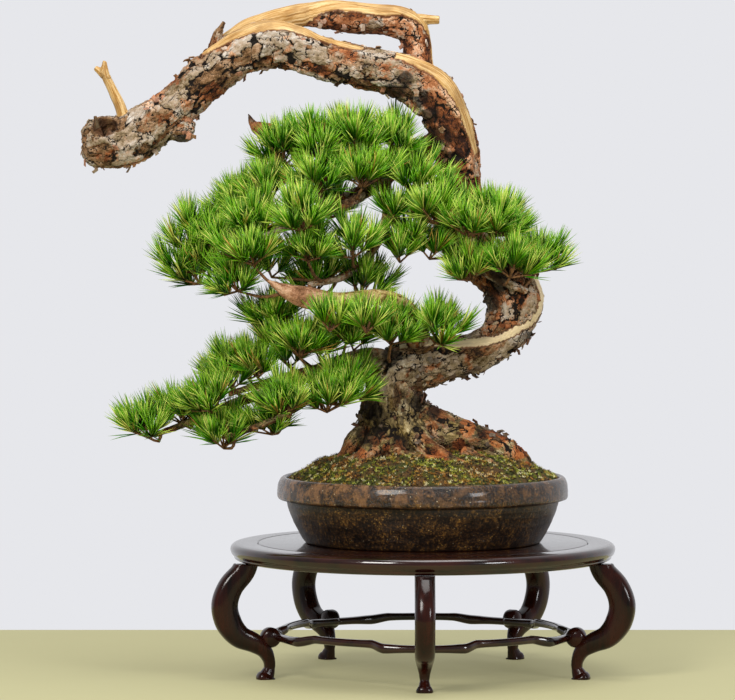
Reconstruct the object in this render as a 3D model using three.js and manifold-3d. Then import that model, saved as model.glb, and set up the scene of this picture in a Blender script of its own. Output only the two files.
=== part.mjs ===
// A trained red pine in a round glazed pot, on a round five-legged display stand.
// Millimetres. X runs to the viewer's right, Y away from the viewer, Z up.
// Everything is laid out round the stand's upright axis, with the floor at zero.

import * as THREE from "three";
import { mergeVertices } from "three/addons/utils/BufferGeometryUtils.js";
import Module from "manifold-3d";

const wasm = await Module();
wasm.setup();

// The space left between two pieces that touch.
const GAP = 0.3;

// Driving dimensions of the display stand.
const STAND = {
  height: 172,
  radius: 251,
  edge: 22,
  panelRadius: 215,
  panelThickness: 12,
  ledge: 16,
  chamfer: 1.5,
  segments: 32,
};
const LEG = {
  count: 5,
  firstAngle: -90,
  knobRadius: 13,
  knobHalfLength: 11,
  knobSides: 10,
  knobPlace: [207.6, 54],
  sides: 8,
};
// The leg's centre line from top to foot: [distance from the axis, height, half thickness, half width].
const LEG_LINE = [
  [240, STAND.height - STAND.edge - GAP, 15, 13],
  [246, 138, 15, 13],
  [261, 121, 16, 13],
  [269, 98, 17, 13],
  [264, 75, 17, 13],
  [250, 57, 15, 13],
  [231, 48, 13, 12.5],
  [216, 37, 10, 10],
  [209, 20, 7, 6.5],
  [212, 7, 10, 8],
  [214, 0, 12, 11],
];
const RAIL = {
  endRadius: 192,
  middleRadius: 181,
  halfWidth: 7.5,
  middleHalfWidth: 5.5,
  halfHeight: 4.6,
  height: 55,
  steps: 12,
  sides: 6,
  stepStart: 17,
  stepEnd: 25,
};

// Driving dimensions of the pot, measured from its foot.
const POT = {
  height: 86,
  rimRadius: 190,
  rimBand: 29,
  rimWall: 13,
  bodyRadius: 177,
  cornerRadius: 159,
  footRadius: 153,
  footHeight: 5,
  footWidth: 14,
  floor: 12,
  wall: 12,
  segments: 32,
  drainRadius: 13,
  drainOffset: 62,
};
const SCREEN = { sides: 12, radius: 19, thickness: 1.2, holeRadius: 2.4, holePitch: 9 };
const POT_FOOT = STAND.height + GAP;
const POT_RIM = POT_FOOT + POT.height;
const POT_FLOOR = POT_FOOT + POT.floor;

// The soil's mound: [distance from the pot's axis, height over the rim].
const MOUND = [
  [0, 31],
  [50, 30],
  [95, 27],
  [122, 22],
  [147, 12],
  [166, 2],
];
const SOIL = { edgeDrop: 4, segments: 32, unevenness: 2.2, plugRadius: 46, plugDepth: 42 };
const PLUG_CENTRE = [-35, 0];

// Main limbs of the tree: each place is [x, y, z, radius].
const TRUNK = [
  [-34, 0, 268, 58],
  [-35, 0, 300, 55],
  [-40, -2, 334, 44],
  [-40, -4, 364, 38],
  [-31, -6, 390, 35],
  [6, -10, 406, 31],
  [44, -10, 414, 26],
  [88, -7, 430, 24],
  [116, 0, 456, 31],
  [120, 4, 487, 38],
  [106, 10, 516, 34],
  [74, 18, 537, 29],
  [51, 22, 559, 27],
  [44, 24, 585, 28],
  [48, 22, 617, 28],
  [46, 16, 649, 28],
  [41, 10, 682, 28],
  [31, 4, 722, 29],
  [9, 0, 757, 31],
  [-23, -2, 776, 30],
  [-56, -2, 785, 28],
  [-95, 0, 793, 26],
  [-134, 2, 803, 26],
  [-166, 4, 815, 28],
  [-199, 4, 820, 30],
  [-229, 2, 811, 29],
  [-257, 0, 793, 28],
  [-290, -2, 768, 27],
  [-322, -4, 740, 28],
  [-355, -6, 713, 30],
  [-387, -8, 693, 33],
  [-414, -8, 692, 34],
  [-431, -8, 692, 29],
  [-440, -8, 692, 17],
];
const SECOND_LIMB = [
  [6, 14, 758, 17],
  [-6, 30, 792, 18],
  [-9, 38, 820, 18],
  [-16, 40, 840, 20],
  [-34, 41, 849, 20.5],
  [-60, 42, 852, 19.5],
  [-88, 42, 854, 20],
  [-122, 41, 857, 18],
  [-156, 39, 857, 15],
  [-185, 37, 853, 13],
  [-225, 34, 842, 10.5],
  [-263, 30, 823, 6],
];

// Boughs that carry the needles.
const BOUGHS = {
  crown: [
    [38, 8, 702, 16],
    [-10, 14, 680, 14],
    [-56, 6, 671, 12],
    [-101, -4, 672, 10],
    [-147, -8, 684, 9],
    [-179, -8, 698, 10],
    [-207, -10, 714, 10],
    [-228, -12, 730, 3],
  ],
  shelf: [
    [-14, 14, 678, 12],
    [-62, 0, 637, 10],
    [-121, -10, 609, 9],
    [-186, -8, 583, 7],
    [-244, -4, 556, 5.5],
    [-290, -2, 524, 4],
  ],
  front: [
    [-62, 0, 637, 8],
    [-95, -45, 615, 6.5],
    [-150, -72, 594, 5],
    [-205, -80, 572, 4],
  ],
  back: [
    [-90, 0, 670, 8],
    [-120, 45, 652, 6],
    [-160, 76, 624, 5],
    [-190, 86, 600, 4],
  ],
  under: [
    [-50, 6, 648, 8],
    [-46, -8, 600, 7],
    [-66, -25, 552, 6],
    [-101, -35, 520, 5],
    [-150, -38, 508, 4],
  ],
  rightLow: [
    [62, 16, 546, 9],
    [68, -20, 534, 8],
    [98, -42, 516, 6.5],
    [120, -44, 506, 5],
    [134, -34, 500, 4],
  ],
  rightHigh: [
    [46, 20, 606, 9],
    [60, -26, 592, 8],
    [88, -38, 580, 6],
    [108, -38, 576, 4.5],
  ],
  rightBack: [
    [50, 20, 600, 8],
    [78, 34, 574, 6],
    [94, 42, 566, 4.5],
  ],
  low: [
    [-26, -10, 398, 16],
    [-62, -20, 414, 13],
    [-108, -25, 406, 11],
    [-160, -25, 386, 9],
    [-218, -20, 362, 7.5],
    [-277, -15, 332, 6],
    [-322, -12, 306, 4.5],
    [-350, -12, 294, 3.5],
  ],
  lowBack: [
    [-104, -22, 404, 8],
    [-140, 25, 396, 6.5],
    [-195, 55, 380, 5.5],
    [-255, 62, 362, 4],
  ],
  lowFront: [
    [-104, -30, 402, 7],
    [-132, -54, 374, 6],
    [-172, -62, 342, 5],
    [-215, -56, 314, 4.2],
    [-258, -46, 294, 3.5],
  ],
  bare: [
    [-6, -14, 424, 14],
    [-10, -40, 456, 13],
    [-26, -66, 484, 12],
    [-56, -84, 496, 11.5],
    [-108, -94, 491, 12],
    [-150, -98, 494, 14],
    [-180, -98, 503, 14],
    [-198, -96, 511, 7],
  ],
};
const ROOTS = [
  [
    [-4, -6, 327, 27],
    [42, -10, 311, 24],
    [92, -14, 297, 20],
    [122, -18, 281, 15],
    [141, -22, 261, 9],
  ],
  [
    [-20, -22, 312, 24],
    [14, -58, 292, 13],
    [44, -92, 279, 8],
    [66, -116, 266, 5],
  ],
  [
    [-50, -10, 316, 30],
    [-82, -16, 302, 19],
    [-102, -20, 284, 10],
    [-114, -24, 270, 6],
  ],
  [
    [-48, -24, 312, 24],
    [-66, -58, 294, 14],
    [-84, -92, 276, 7],
    [-94, -110, 262, 4],
  ],
  [
    [-34, 24, 314, 28],
    [-40, 62, 294, 16],
    [-30, 102, 276, 8],
    [-20, 124, 258, 5],
  ],
  [
    [-6, 20, 314, 24],
    [40, 44, 294, 15],
    [78, 66, 276, 8],
    [96, 76, 258, 5],
  ],
];
// Bare dead twigs and short cut stubs.
const STUBS = [
  [
    [-386, -10, 706, 7],
    [-391, -11, 734, 6],
    [-403, -12, 762, 5],
    [-413, -13, 782, 4.2],
    [-413, -13, 799, 2],
  ],
  [
    [-411, -13, 779, 4],
    [-426, -12, 790, 2.2],
  ],
  [
    [-22, 40, 853, 9],
    [22, 40, 852, 5.5],
  ],
  [
    [-334, -6, 724, 18],
    [-316, -6, 711, 18],
    [-298, -6, 706, 12],
  ],
  [
    [-110, -26, 402, 8],
    [-116, -34, 352, 5],
  ],
  [
    [108, 2, 440, 15],
    [134, -4, 452, 9],
    [144, -4, 458, 4],
  ],
];
// The hollow in the broken end of the trunk.
const HOLLOW = [
  [-414, -52, 734, 18],
  [-412, -34, 717, 16],
  [-408, -18, 705, 13],
  [-402, -6, 698, 8],
];
// Ridges of pale dead wood, from one place of the trunk to another, with the way that each ridge faces.
const RIDGES = [
  { from: 16, to: 19, facing: [0.75, -0.3, 0.6], height: 7 },
  { from: 21, to: 26, facing: [-0.1, 0.1, 1], height: 9 },
  { from: 4.5, to: 9, facing: [0.1, -0.5, 0.9], height: 5 },
];

const BARK = { sides: 12, step: 22, swell: 0.05, roughness: 0.045, seed: 11 };
const LIMB_SHAPE = { sides: 9, step: 24, swell: 0.05, roughness: 0.04 };
const BOUGH_SHAPE = { sides: 5, step: 44, swell: 0.05, roughness: 0.03 };
const ROOT_SHAPE = { sides: 6, step: 30, swell: 0.05, roughness: 0.05 };

// Sprays of needles. A place is the middle of a spray's crown of shoots, [x, y, z], a little above its fork.
// Each pad has a middle that its sprays lean away from.
const PADS = {
  upper: {
    middle: [-140, -10, 560],
    places: [
      [-30, -25, 692],
      [-85, -35, 711],
      [-134, -40, 693],
      [-186, -20, 676],
      [-92, 42, 696],
      [-8, -46, 641],
      [-74, -62, 646],
      [-134, -58, 641],
      [-209, -30, 632],
      [-253, 8, 613],
      [-156, -100, 592],
      [-225, -58, 583],
      [-284, -24, 565],
      [-309, -8, 522],
      [-250, -55, 512],
      [-224, -84, 546],
      [-121, 88, 604],
      [-86, -80, 556],
      [-150, -82, 552],
      [-150, -16, 516],
      [-70, -16, 516],
    ],
  },
  right: {
    middle: [60, 0, 545],
    places: [
      [10, -70, 600],
      [56, -66, 584],
      [100, -56, 592],
      [104, 44, 598],
      [62, -60, 526],
      [116, -70, 530],
      [154, -26, 536],
    ],
  },
  lower: {
    middle: [-150, -20, 330],
    places: [
      [14, -66, 442],
      [-40, -72, 446],
      [-95, -62, 446],
      [-160, -76, 429],
      [-196, -34, 464],
      [-79, -64, 372],
      [-121, -84, 358],
      [-179, -90, 357],
      [-232, -4, 396],
      [-258, 62, 397],
      [-204, -34, 326],
      [-277, -48, 357],
      [-266, -36, 308],
      [-320, -4, 338],
      [-362, -20, 320],
    ],
  },
};
const SPRAY = {
  seed: 2026,
  drop: 14,
  stem: 16,
  stemRadius: 2.2,
  shoots: 3,
  shoot: 24,
  shootTilt: 48,
  shootLift: 0.3,
  shootRadius: 1.6,
  shootSides: 3,
  bands: 2,
  bandShare: 0.1,
  widest: 50,
  narrowest: 32,
  crownTilt: 14,
  tiltSpread: 8,
  needle: 52,
  needleSpread: 5,
  needleRadius: 0.9,
  outward: 0.6,
  upward: 0.9,
  tries: 24,
  clearance: 0.5,
};
const TWIG = { baseRadius: 2.8, tipRadius: 2.4, inset: 34, sag: 6, sides: 3 };

const COLOURS = {
  bark: { color: 0x7a6457, roughness: 0.92, metalness: 0 },
  needles: { color: 0x4f8a2c, roughness: 0.6, metalness: 0 },
  soil: { color: 0x6b6a2c, roughness: 1, metalness: 0 },
  glaze: { color: 0x3a2a20, roughness: 0.3, metalness: 0 },
  screen: { color: 0x202422, roughness: 0.7, metalness: 0 },
  rosewood: { color: 0x2c130e, roughness: 0.22, metalness: 0 },
};

const UP = new THREE.Vector3(0, 0, 1);
const DEGREE = Math.PI / 180;

// A repeatable stream of random numbers from 0 to 1.
function seeded(seed) {
  let state = seed >>> 0;
  return () => {
    state = (state + 0x6d2b79f5) >>> 0;
    let t = state;
    t = Math.imul(t ^ (t >>> 15), t | 1);
    t ^= t + Math.imul(t ^ (t >>> 7), t | 61);
    return ((t ^ (t >>> 14)) >>> 0) / 4294967296;
  };
}

// A solid from corner positions and triangles, turned right side out.
function solidFrom(positions, triangles) {
  const build = (order) =>
    new wasm.Manifold(
      new wasm.Mesh({
        numProp: 3,
        vertProperties: new Float32Array(positions),
        triVerts: new Uint32Array(order),
      }),
    );
  const solid = build(triangles);
  if (solid.volume() > 0) return solid;
  const flipped = [];
  for (let i = 0; i < triangles.length; i += 3) {
    flipped.push(triangles[i], triangles[i + 2], triangles[i + 1]);
  }
  return build(flipped);
}

// A solid from a three.js geometry, with its shared corners merged and its empty faces dropped.
function solidOf(geometry) {
  geometry.deleteAttribute("normal");
  geometry.deleteAttribute("uv");
  const merged = mergeVertices(geometry, 1e-4);
  const order = merged.index.array;
  const kept = [];
  for (let i = 0; i < order.length; i += 3) {
    const [a, b, c] = [order[i], order[i + 1], order[i + 2]];
    if (a !== b && b !== c && c !== a) kept.push(a, b, c);
  }
  return solidFrom(merged.attributes.position.array, kept);
}

// A solid through a row of rings with the same count of corners, closed flat at both ends.
function skinned(rings) {
  const sides = rings[0].length;
  const positions = [];
  const triangles = [];
  for (const ring of rings) {
    for (const p of ring) positions.push(p.x, p.y, p.z);
  }
  for (let i = 0; i + 1 < rings.length; i++) {
    for (let j = 0; j < sides; j++) {
      const a = i * sides + j;
      const b = i * sides + ((j + 1) % sides);
      triangles.push(a, b, b + sides, a, b + sides, a + sides);
    }
  }
  const last = (rings.length - 1) * sides;
  for (let j = 1; j + 1 < sides; j++) {
    triangles.push(0, j + 1, j);
    triangles.push(last, last + j, last + j + 1);
  }
  return solidFrom(positions, triangles);
}

// A body turned about the upright axis from its outline of [radius, height] pairs.
function turned(outline, segments) {
  const points = outline.map(([radius, height]) => new THREE.Vector2(radius, height));
  const geometry = new THREE.LatheGeometry(points, segments);
  geometry.rotateX(Math.PI / 2);
  return solidOf(geometry);
}

// An upright round pin between two heights.
function pin(radius, bottom, top, x, y, segments = 20) {
  const geometry = new THREE.CylinderGeometry(radius, radius, top - bottom, segments);
  geometry.rotateX(Math.PI / 2);
  geometry.translate(x, y, (top + bottom) / 2);
  return solidOf(geometry);
}

function joined(solids) {
  return solids.reduce((whole, solid) => whole.add(solid));
}

function meshOf(name, solid, finish) {
  const { vertProperties, triVerts } = solid.getMesh();
  const geometry = new THREE.BufferGeometry();
  geometry.setAttribute("position", new THREE.BufferAttribute(vertProperties.slice(), 3));
  geometry.setIndex(new THREE.BufferAttribute(triVerts.slice(), 1));
  geometry.computeVertexNormals();
  const mesh = new THREE.Mesh(geometry, new THREE.MeshStandardMaterial(finish));
  mesh.name = name;
  return mesh;
}

// The height of the mound's top at a place, over the pot's rim.
function moundHeight(radius) {
  for (let i = 0; i + 1 < MOUND.length; i++) {
    const [r0, h0] = MOUND[i];
    const [r1, h1] = MOUND[i + 1];
    if (radius <= r1) {
      const t = (radius - r0) / (r1 - r0);
      return h0 + (h1 - h0) * t;
    }
  }
  return MOUND[MOUND.length - 1][1];
}

function moundUnevenness(angle, radius) {
  const fade = Math.min(radius / 40, 1) * Math.min(Math.max((168 - radius) / 30, 0), 1);
  const wave = Math.sin(3 * angle + radius / 19) + Math.sin(5 * angle - radius / 13 + 1.3);
  return SOIL.unevenness * 0.5 * wave * fade;
}

// The mound as a closed body: its wavy top lifted by a set amount, and its sides from the given outline.
function moundBody(lift, sideOutline) {
  const radii = [36, 80, 122, 147, 166];
  const segments = SOIL.segments;
  const positions = [0, 0, POT_RIM + moundHeight(0) + lift];
  const triangles = [];
  const addRing = (radius, height) => {
    for (let j = 0; j < segments; j++) {
      const angle = (j / segments) * 2 * Math.PI;
      const top = POT_RIM + moundHeight(radius) + moundUnevenness(angle, radius) + lift;
      positions.push(radius * Math.cos(angle), radius * Math.sin(angle), height ?? top);
    }
  };
  radii.forEach((radius) => addRing(radius, null));
  sideOutline.forEach(([radius, height]) => addRing(radius, height));
  const rings = radii.length + sideOutline.length;
  for (let j = 0; j < segments; j++) {
    triangles.push(0, 1 + j, 1 + ((j + 1) % segments));
  }
  for (let i = 0; i + 1 < rings; i++) {
    for (let j = 0; j < segments; j++) {
      const a = 1 + i * segments + j;
      const b = 1 + i * segments + ((j + 1) % segments);
      triangles.push(a, a + segments, b + segments, a, b + segments, b);
    }
  }
  const bottom = 1 + (rings - 1) * segments;
  for (let j = 1; j + 1 < segments; j++) {
    triangles.push(bottom, bottom + j + 1, bottom + j);
  }
  return solidFrom(positions, triangles);
}

// The pot's inner wall, from its rim down to its floor.
const INNER_WALL = [
  [POT.rimRadius - POT.rimWall, POT_RIM - SOIL.edgeDrop],
  [POT.rimRadius - POT.rimWall, POT_RIM - 10],
  [POT.bodyRadius - POT.wall, POT_RIM - POT.rimBand - 6],
  [POT.cornerRadius - POT.wall, POT_FLOOR + 10],
  [POT.cornerRadius - POT.wall - 8, POT_FLOOR],
];

function makePot() {
  const foot = POT_FOOT;
  const underFloor = foot + POT.footHeight;
  const bandFoot = POT_RIM - POT.rimBand;
  const outline = [
    [0, underFloor],
    [POT.footRadius - POT.footWidth - 2, underFloor],
    [POT.footRadius - POT.footWidth, foot],
    [POT.footRadius, foot],
    [POT.footRadius + 3, foot + 4],
    [POT.cornerRadius + 2, foot + 13],
    [POT.bodyRadius - 7, foot + 30],
    [POT.bodyRadius - 1, foot + 46],
    [POT.bodyRadius + 1, bandFoot - 2],
    [POT.rimRadius - 3, bandFoot],
    [POT.rimRadius - 1, bandFoot + 3],
    [POT.rimRadius, POT_RIM - 6],
    [POT.rimRadius - 2.5, POT_RIM],
    [POT.rimRadius - POT.rimWall + 2, POT_RIM],
    ...INNER_WALL,
    [0, POT_FLOOR],
  ];
  let pot = turned(outline, POT.segments);
  for (const side of [-1, 1]) {
    pot = pot.subtract(pin(POT.drainRadius, foot - 1, POT_FLOOR + 1, side * POT.drainOffset, 0, 16));
  }
  return pot;
}

// A round sheet with a square grid of holes, laid over a drain hole.
function makeScreen(x) {
  const bottom = POT_FLOOR + GAP;
  let screen = pin(SCREEN.radius, bottom, bottom + SCREEN.thickness, x, 0, SCREEN.sides);
  const top = bottom + SCREEN.thickness;
  const offsets = [-SCREEN.holePitch / 2, SCREEN.holePitch / 2];
  for (const across of offsets) {
    for (const along of offsets) {
      screen = screen.subtract(pin(SCREEN.holeRadius, bottom - 1, top + 1, x + across, along, 4));
    }
  }
  return screen;
}

function makeSoil() {
  const sides = INNER_WALL.map(([radius, height]) => [radius - GAP, height]);
  sides[sides.length - 1][1] += GAP;
  let soil = moundBody(0, sides);
  const [x, y] = PLUG_CENTRE;
  const bottom = POT_RIM + MOUND[0][1] - SOIL.plugDepth - GAP;
  soil = soil.subtract(pin(SOIL.plugRadius + GAP, bottom, POT_RIM + 60, x, y, 24));
  for (const side of [-1, 1]) {
    const top = POT_FLOOR + 2 * GAP + SCREEN.thickness;
    const room = pin(SCREEN.radius + GAP, POT_FLOOR - 1, top, side * POT.drainOffset, 0, SCREEN.sides);
    soil = soil.subtract(room);
  }
  return soil;
}

function curveThrough(stations) {
  const points = stations.map(([x, y, z]) => new THREE.Vector3(x, y, z));
  return new THREE.CatmullRomCurve3(points, false, "centripetal");
}

// The radius at a place along a limb, counted in stations.
function radiusAt(stations, place) {
  const i = Math.min(Math.floor(place), stations.length - 2);
  const t = place - i;
  const s = t * t * (3 - 2 * t);
  return stations[i][3] * (1 - s) + stations[i + 1][3] * s;
}

function ridgeLift(ridges, place, direction) {
  let lift = 0;
  for (const ridge of ridges) {
    if (place < ridge.from || place > ridge.to) continue;
    const along = Math.sin((Math.PI * (place - ridge.from)) / (ridge.to - ridge.from));
    const facing = new THREE.Vector3(...ridge.facing).normalize();
    const angle = Math.acos(THREE.MathUtils.clamp(direction.dot(facing), -1, 1));
    lift += ridge.height * Math.sqrt(along) * Math.exp(-((angle / 0.38) ** 2));
  }
  return lift;
}

// A limb with an uneven, slightly fluted surface, closed at both ends.
function limb(stations, shape, seed, ridges = []) {
  const curve = curveThrough(stations);
  const steps = Math.max(1, Math.round(curve.getLength() / shape.step));
  const frames = curve.computeFrenetFrames(steps, false);
  const random = seeded(seed);
  const rings = [];
  for (let i = 0; i <= steps; i++) {
    const t = curve.getUtoTmapping(i / steps);
    const place = t * (stations.length - 1);
    const centre = curve.getPoint(t);
    const radius = radiusAt(stations, place);
    const ring = [];
    for (let j = 0; j < shape.sides; j++) {
      const angle = (j / shape.sides) * 2 * Math.PI;
      const direction = frames.normals[i]
        .clone()
        .multiplyScalar(Math.cos(angle))
        .addScaledVector(frames.binormals[i], Math.sin(angle));
      const swell = shape.swell * Math.sin(3 * angle + place * 1.7);
      const rough = shape.roughness * (2 * random() - 1);
      const length = radius * (1 + swell + rough) + ridgeLift(ridges, place, direction);
      ring.push(centre.clone().addScaledVector(direction, length));
    }
    rings.push(ring);
  }
  return skinned(rings);
}

// Straight pieces that stand for a limb when the needles look for free space: [start, end, radius].
function limbReach(stations, margin = 1.12) {
  const curve = curveThrough(stations);
  const steps = Math.max(2, Math.round(curve.getLength() / 12));
  const reach = [];
  for (let i = 0; i < steps; i++) {
    const t0 = curve.getUtoTmapping(i / steps);
    const t1 = curve.getUtoTmapping((i + 1) / steps);
    const place = ((t0 + t1) / 2) * (stations.length - 1);
    const radius = radiusAt(stations, place) * margin + 1;
    reach.push({ start: curve.getPoint(t0), end: curve.getPoint(t1), radius, owner: "wood" });
  }
  return reach;
}

// The shortest distance between two straight stretches.
function distanceBetween(p1, q1, p2, q2) {
  const d1 = q1.clone().sub(p1);
  const d2 = q2.clone().sub(p2);
  const r = p1.clone().sub(p2);
  const a = d1.lengthSq();
  const e = d2.lengthSq();
  const f = d2.dot(r);
  const c = d1.dot(r);
  const b = d1.dot(d2);
  const denominator = a * e - b * b;
  let s = denominator > 1e-9 ? THREE.MathUtils.clamp((b * f - c * e) / denominator, 0, 1) : 0;
  let t = (b * s + f) / e;
  if (t < 0) {
    t = 0;
    s = THREE.MathUtils.clamp(-c / a, 0, 1);
  } else if (t > 1) {
    t = 1;
    s = THREE.MathUtils.clamp((b - c) / a, 0, 1);
  }
  const near = p1.clone().addScaledVector(d1, s);
  return near.distanceTo(p2.clone().addScaledVector(d2, t));
}

// Whether a stretch keeps its distance from everything that another piece owns.
function isFree(start, end, radius, owner, taken) {
  const middle = start.clone().add(end).multiplyScalar(0.5);
  const half = start.distanceTo(end) / 2;
  for (const other of taken) {
    if (other.owner === owner) continue;
    const limit = radius + other.radius + SPRAY.clearance;
    other.middle ??= other.start.clone().add(other.end).multiplyScalar(0.5);
    other.half ??= other.start.distanceTo(other.end) / 2;
    if (middle.distanceTo(other.middle) > half + other.half + limit) continue;
    if (distanceBetween(start, end, other.start, other.end) < limit) return false;
  }
  return true;
}

// Two directions square to an axis and to each other.
function acrossAxis(axis) {
  const side = Math.abs(axis.z) > 0.9 ? new THREE.Vector3(1, 0, 0) : UP.clone();
  const u = side.cross(axis).normalize();
  return [u, axis.clone().cross(u)];
}

// A ring of corners square to an axis.
function ringAbout(centre, axis, radius, sides, spin = 0) {
  const [u, v] = acrossAxis(axis);
  const ring = [];
  for (let j = 0; j < sides; j++) {
    const angle = spin + (j / sides) * 2 * Math.PI;
    const corner = centre.clone().addScaledVector(u, radius * Math.cos(angle));
    ring.push(corner.addScaledVector(v, radius * Math.sin(angle)));
  }
  return ring;
}

// The direction at a tilt from an axis, turned round it by an angle.
function tilted(axis, tilt, turn) {
  const [u, v] = acrossAxis(axis);
  return axis
    .clone()
    .multiplyScalar(Math.cos(tilt))
    .addScaledVector(u, Math.sin(tilt) * Math.cos(turn))
    .addScaledVector(v, Math.sin(tilt) * Math.sin(turn));
}

// Where each spray forks, which way it grows and where its twig ends.
function planSprays() {
  const plans = [];
  for (const [pad, { middle, places }] of Object.entries(PADS)) {
    places.forEach((place, index) => {
      const crown = new THREE.Vector3(...place);
      const out = crown.clone().sub(new THREE.Vector3(...middle));
      out.z *= 0.3;
      out.normalize();
      const grows = out.multiplyScalar(SPRAY.outward).addScaledVector(UP, SPRAY.upward).normalize();
      const name = "needles_" + pad + "_" + String(index + 1).padStart(2, "0");
      const fork = crown.clone().addScaledVector(grows, -SPRAY.drop);
      const foot = fork.clone().addScaledVector(grows, -SPRAY.stem);
      plans.push({ name, fork, grows, foot });
    });
  }
  return plans;
}

// The twig from the nearest bough up to a spray: it leaves the bough nearer its root and bends up.
function planTwig(plan, boughs) {
  let best = null;
  for (const stations of boughs) {
    const curve = curveThrough(stations);
    const length = curve.getLength();
    for (let i = 0; i <= 40; i++) {
      const point = curve.getPointAt(i / 40);
      const distance = point.distanceTo(plan.foot);
      if (best && distance >= best.distance) continue;
      const back = Math.max(0, i / 40 - Math.min(TWIG.inset, distance * 0.6) / length);
      best = { distance, point: curve.getPointAt(back) };
    }
  }
  const knee = best.point.clone().lerp(plan.foot, 0.55);
  knee.addScaledVector(plan.grows, -Math.min(TWIG.sag, best.distance * 0.12));
  const end = plan.foot.clone().addScaledVector(plan.grows, -GAP);
  return [best.point, knee, end];
}

// A twig in two stretches, its end square to the stem of its spray.
function twigSolid([root, knee, end], grows) {
  const first = knee.clone().sub(root).normalize();
  const bisector = end.clone().sub(root).normalize();
  return skinned([
    ringAbout(root, first, TWIG.baseRadius, TWIG.sides),
    ringAbout(knee, bisector, TWIG.baseRadius, TWIG.sides),
    ringAbout(end, grows, TWIG.tipRadius, TWIG.sides),
  ]);
}

// One spray: a stem that forks into short shoots, with needles fanned round each shoot.
function growSpray(plan, random, taken) {
  const firstTurn = random() * 2 * Math.PI;
  const shoots = [];
  for (let k = 0; k < SPRAY.shoots; k++) {
    const owner = plan.name + k;
    const turn = firstTurn + (k * 2 * Math.PI) / SPRAY.shoots;
    const tip = aimShoot(plan, turn, owner, random, taken);
    if (!tip) continue;
    taken.push({ start: plan.fork, end: tip, radius: SPRAY.shootRadius, owner });
    shoots.push({ tip, owner });
  }
  return joined(shoots.map(({ tip, owner }, i) => growShoot(plan, tip, i === 0, owner, random, taken)));
}

// The tip of a shoot: where the plan puts it, or near there if something is in the way.
function aimShoot(plan, turn, owner, random, taken) {
  const others = taken.filter((other) => !other.owner.startsWith(plan.name));
  for (let attempt = 0; attempt < SPRAY.tries; attempt++) {
    const wander = attempt * 0.12;
    const tilt = SPRAY.shootTilt * DEGREE + 0.5 * wander * (random() - 0.5);
    const direction = tilted(plan.grows, tilt, turn + wander * (random() - 0.5));
    direction.addScaledVector(UP, SPRAY.shootLift).normalize();
    const tip = plan.fork.clone().addScaledVector(direction, SPRAY.shoot);
    if (isFree(plan.fork, tip, SPRAY.shootRadius + 1, owner, others)) return tip;
  }
  return null;
}

// One shoot: each needle is a spike raised from a facet of the shoot's own surface.
// The first shoot carries on from the spray's stem, and the others start inside it.
function growShoot(plan, tip, hasStem, owner, random, taken) {
  const along = tip.clone().sub(plan.fork).normalize();
  const sides = SPRAY.shootSides;
  const rings = [];
  if (hasStem) {
    rings.push(ringAbout(plan.foot, plan.grows, SPRAY.stemRadius, sides));
    rings.push(ringAbout(plan.fork, plan.grows.clone().add(along).normalize(), SPRAY.stemRadius, sides));
  } else {
    rings.push(ringAbout(plan.fork, along, SPRAY.shootRadius * 0.6, sides));
  }
  const plain = rings.length;
  for (let i = SPRAY.bands; i >= 0; i--) {
    const centre = plan.fork.clone().lerp(tip, 1 - i * SPRAY.bandShare);
    rings.push(ringAbout(centre, along, SPRAY.shootRadius, sides));
  }
  const corners = rings.flat();
  const triangles = [0, 2, 1];
  const raise = (facet, tilt) => {
    const spike = aimNeedle(facet.map((i) => corners[i]), along, tilt, tip, owner, random, taken);
    const [a, b, c] = facet;
    if (!spike) {
      triangles.push(a, b, c);
      return;
    }
    const peak = corners.push(spike) - 1;
    triangles.push(a, b, peak, b, c, peak, c, a, peak);
  };
  for (let i = 0; i + 1 < rings.length; i++) {
    const share = (i - plain) / Math.max(SPRAY.bands - 1, 1);
    const tilt = SPRAY.widest + (SPRAY.narrowest - SPRAY.widest) * share;
    for (let j = 0; j < sides; j++) {
      const a = i * sides + j;
      const b = i * sides + ((j + 1) % sides);
      if (i < plain) triangles.push(a, b, b + sides);
      else raise([a, b, b + sides], tilt);
      triangles.push(a, b + sides, a + sides);
    }
  }
  const last = (rings.length - 1) * sides;
  const centre = corners.push(tip.clone().addScaledVector(along, 0.5)) - 1;
  for (let j = 0; j < sides; j++) raise([last + j, last + ((j + 1) % sides), centre], SPRAY.crownTilt);
  return solidFrom(corners.flatMap((p) => [p.x, p.y, p.z]), triangles);
}

// The point of a needle that grows from a facet, or null if there is no free space for it.
function aimNeedle(facet, along, tilt, tip, owner, random, taken) {
  const root = facet[0].clone().add(facet[1]).add(facet[2]).divideScalar(3);
  const side = root.clone().sub(tip);
  side.addScaledVector(along, -side.dot(along)).normalize();
  const length = SPRAY.needle + SPRAY.needleSpread * (2 * random() - 1);
  for (let attempt = 0; attempt < SPRAY.tries; attempt++) {
    const reach = Math.min(0.15 + attempt * 0.04, 0.6);
    const lean = (tilt + SPRAY.tiltSpread * (2 * random() - 1)) * DEGREE;
    const aim = side.clone().applyAxisAngle(along, reach * (2 * random() - 1));
    const direction = along.clone().multiplyScalar(Math.cos(lean)).addScaledVector(aim, Math.sin(lean));
    const end = root.clone().addScaledVector(direction, length);
    const start = root.clone().addScaledVector(direction, 2);
    if (!isFree(start, end, SPRAY.needleRadius, owner, taken)) continue;
    taken.push({ start, end, radius: SPRAY.needleRadius, owner });
    return end;
  }
  return null;
}

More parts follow.
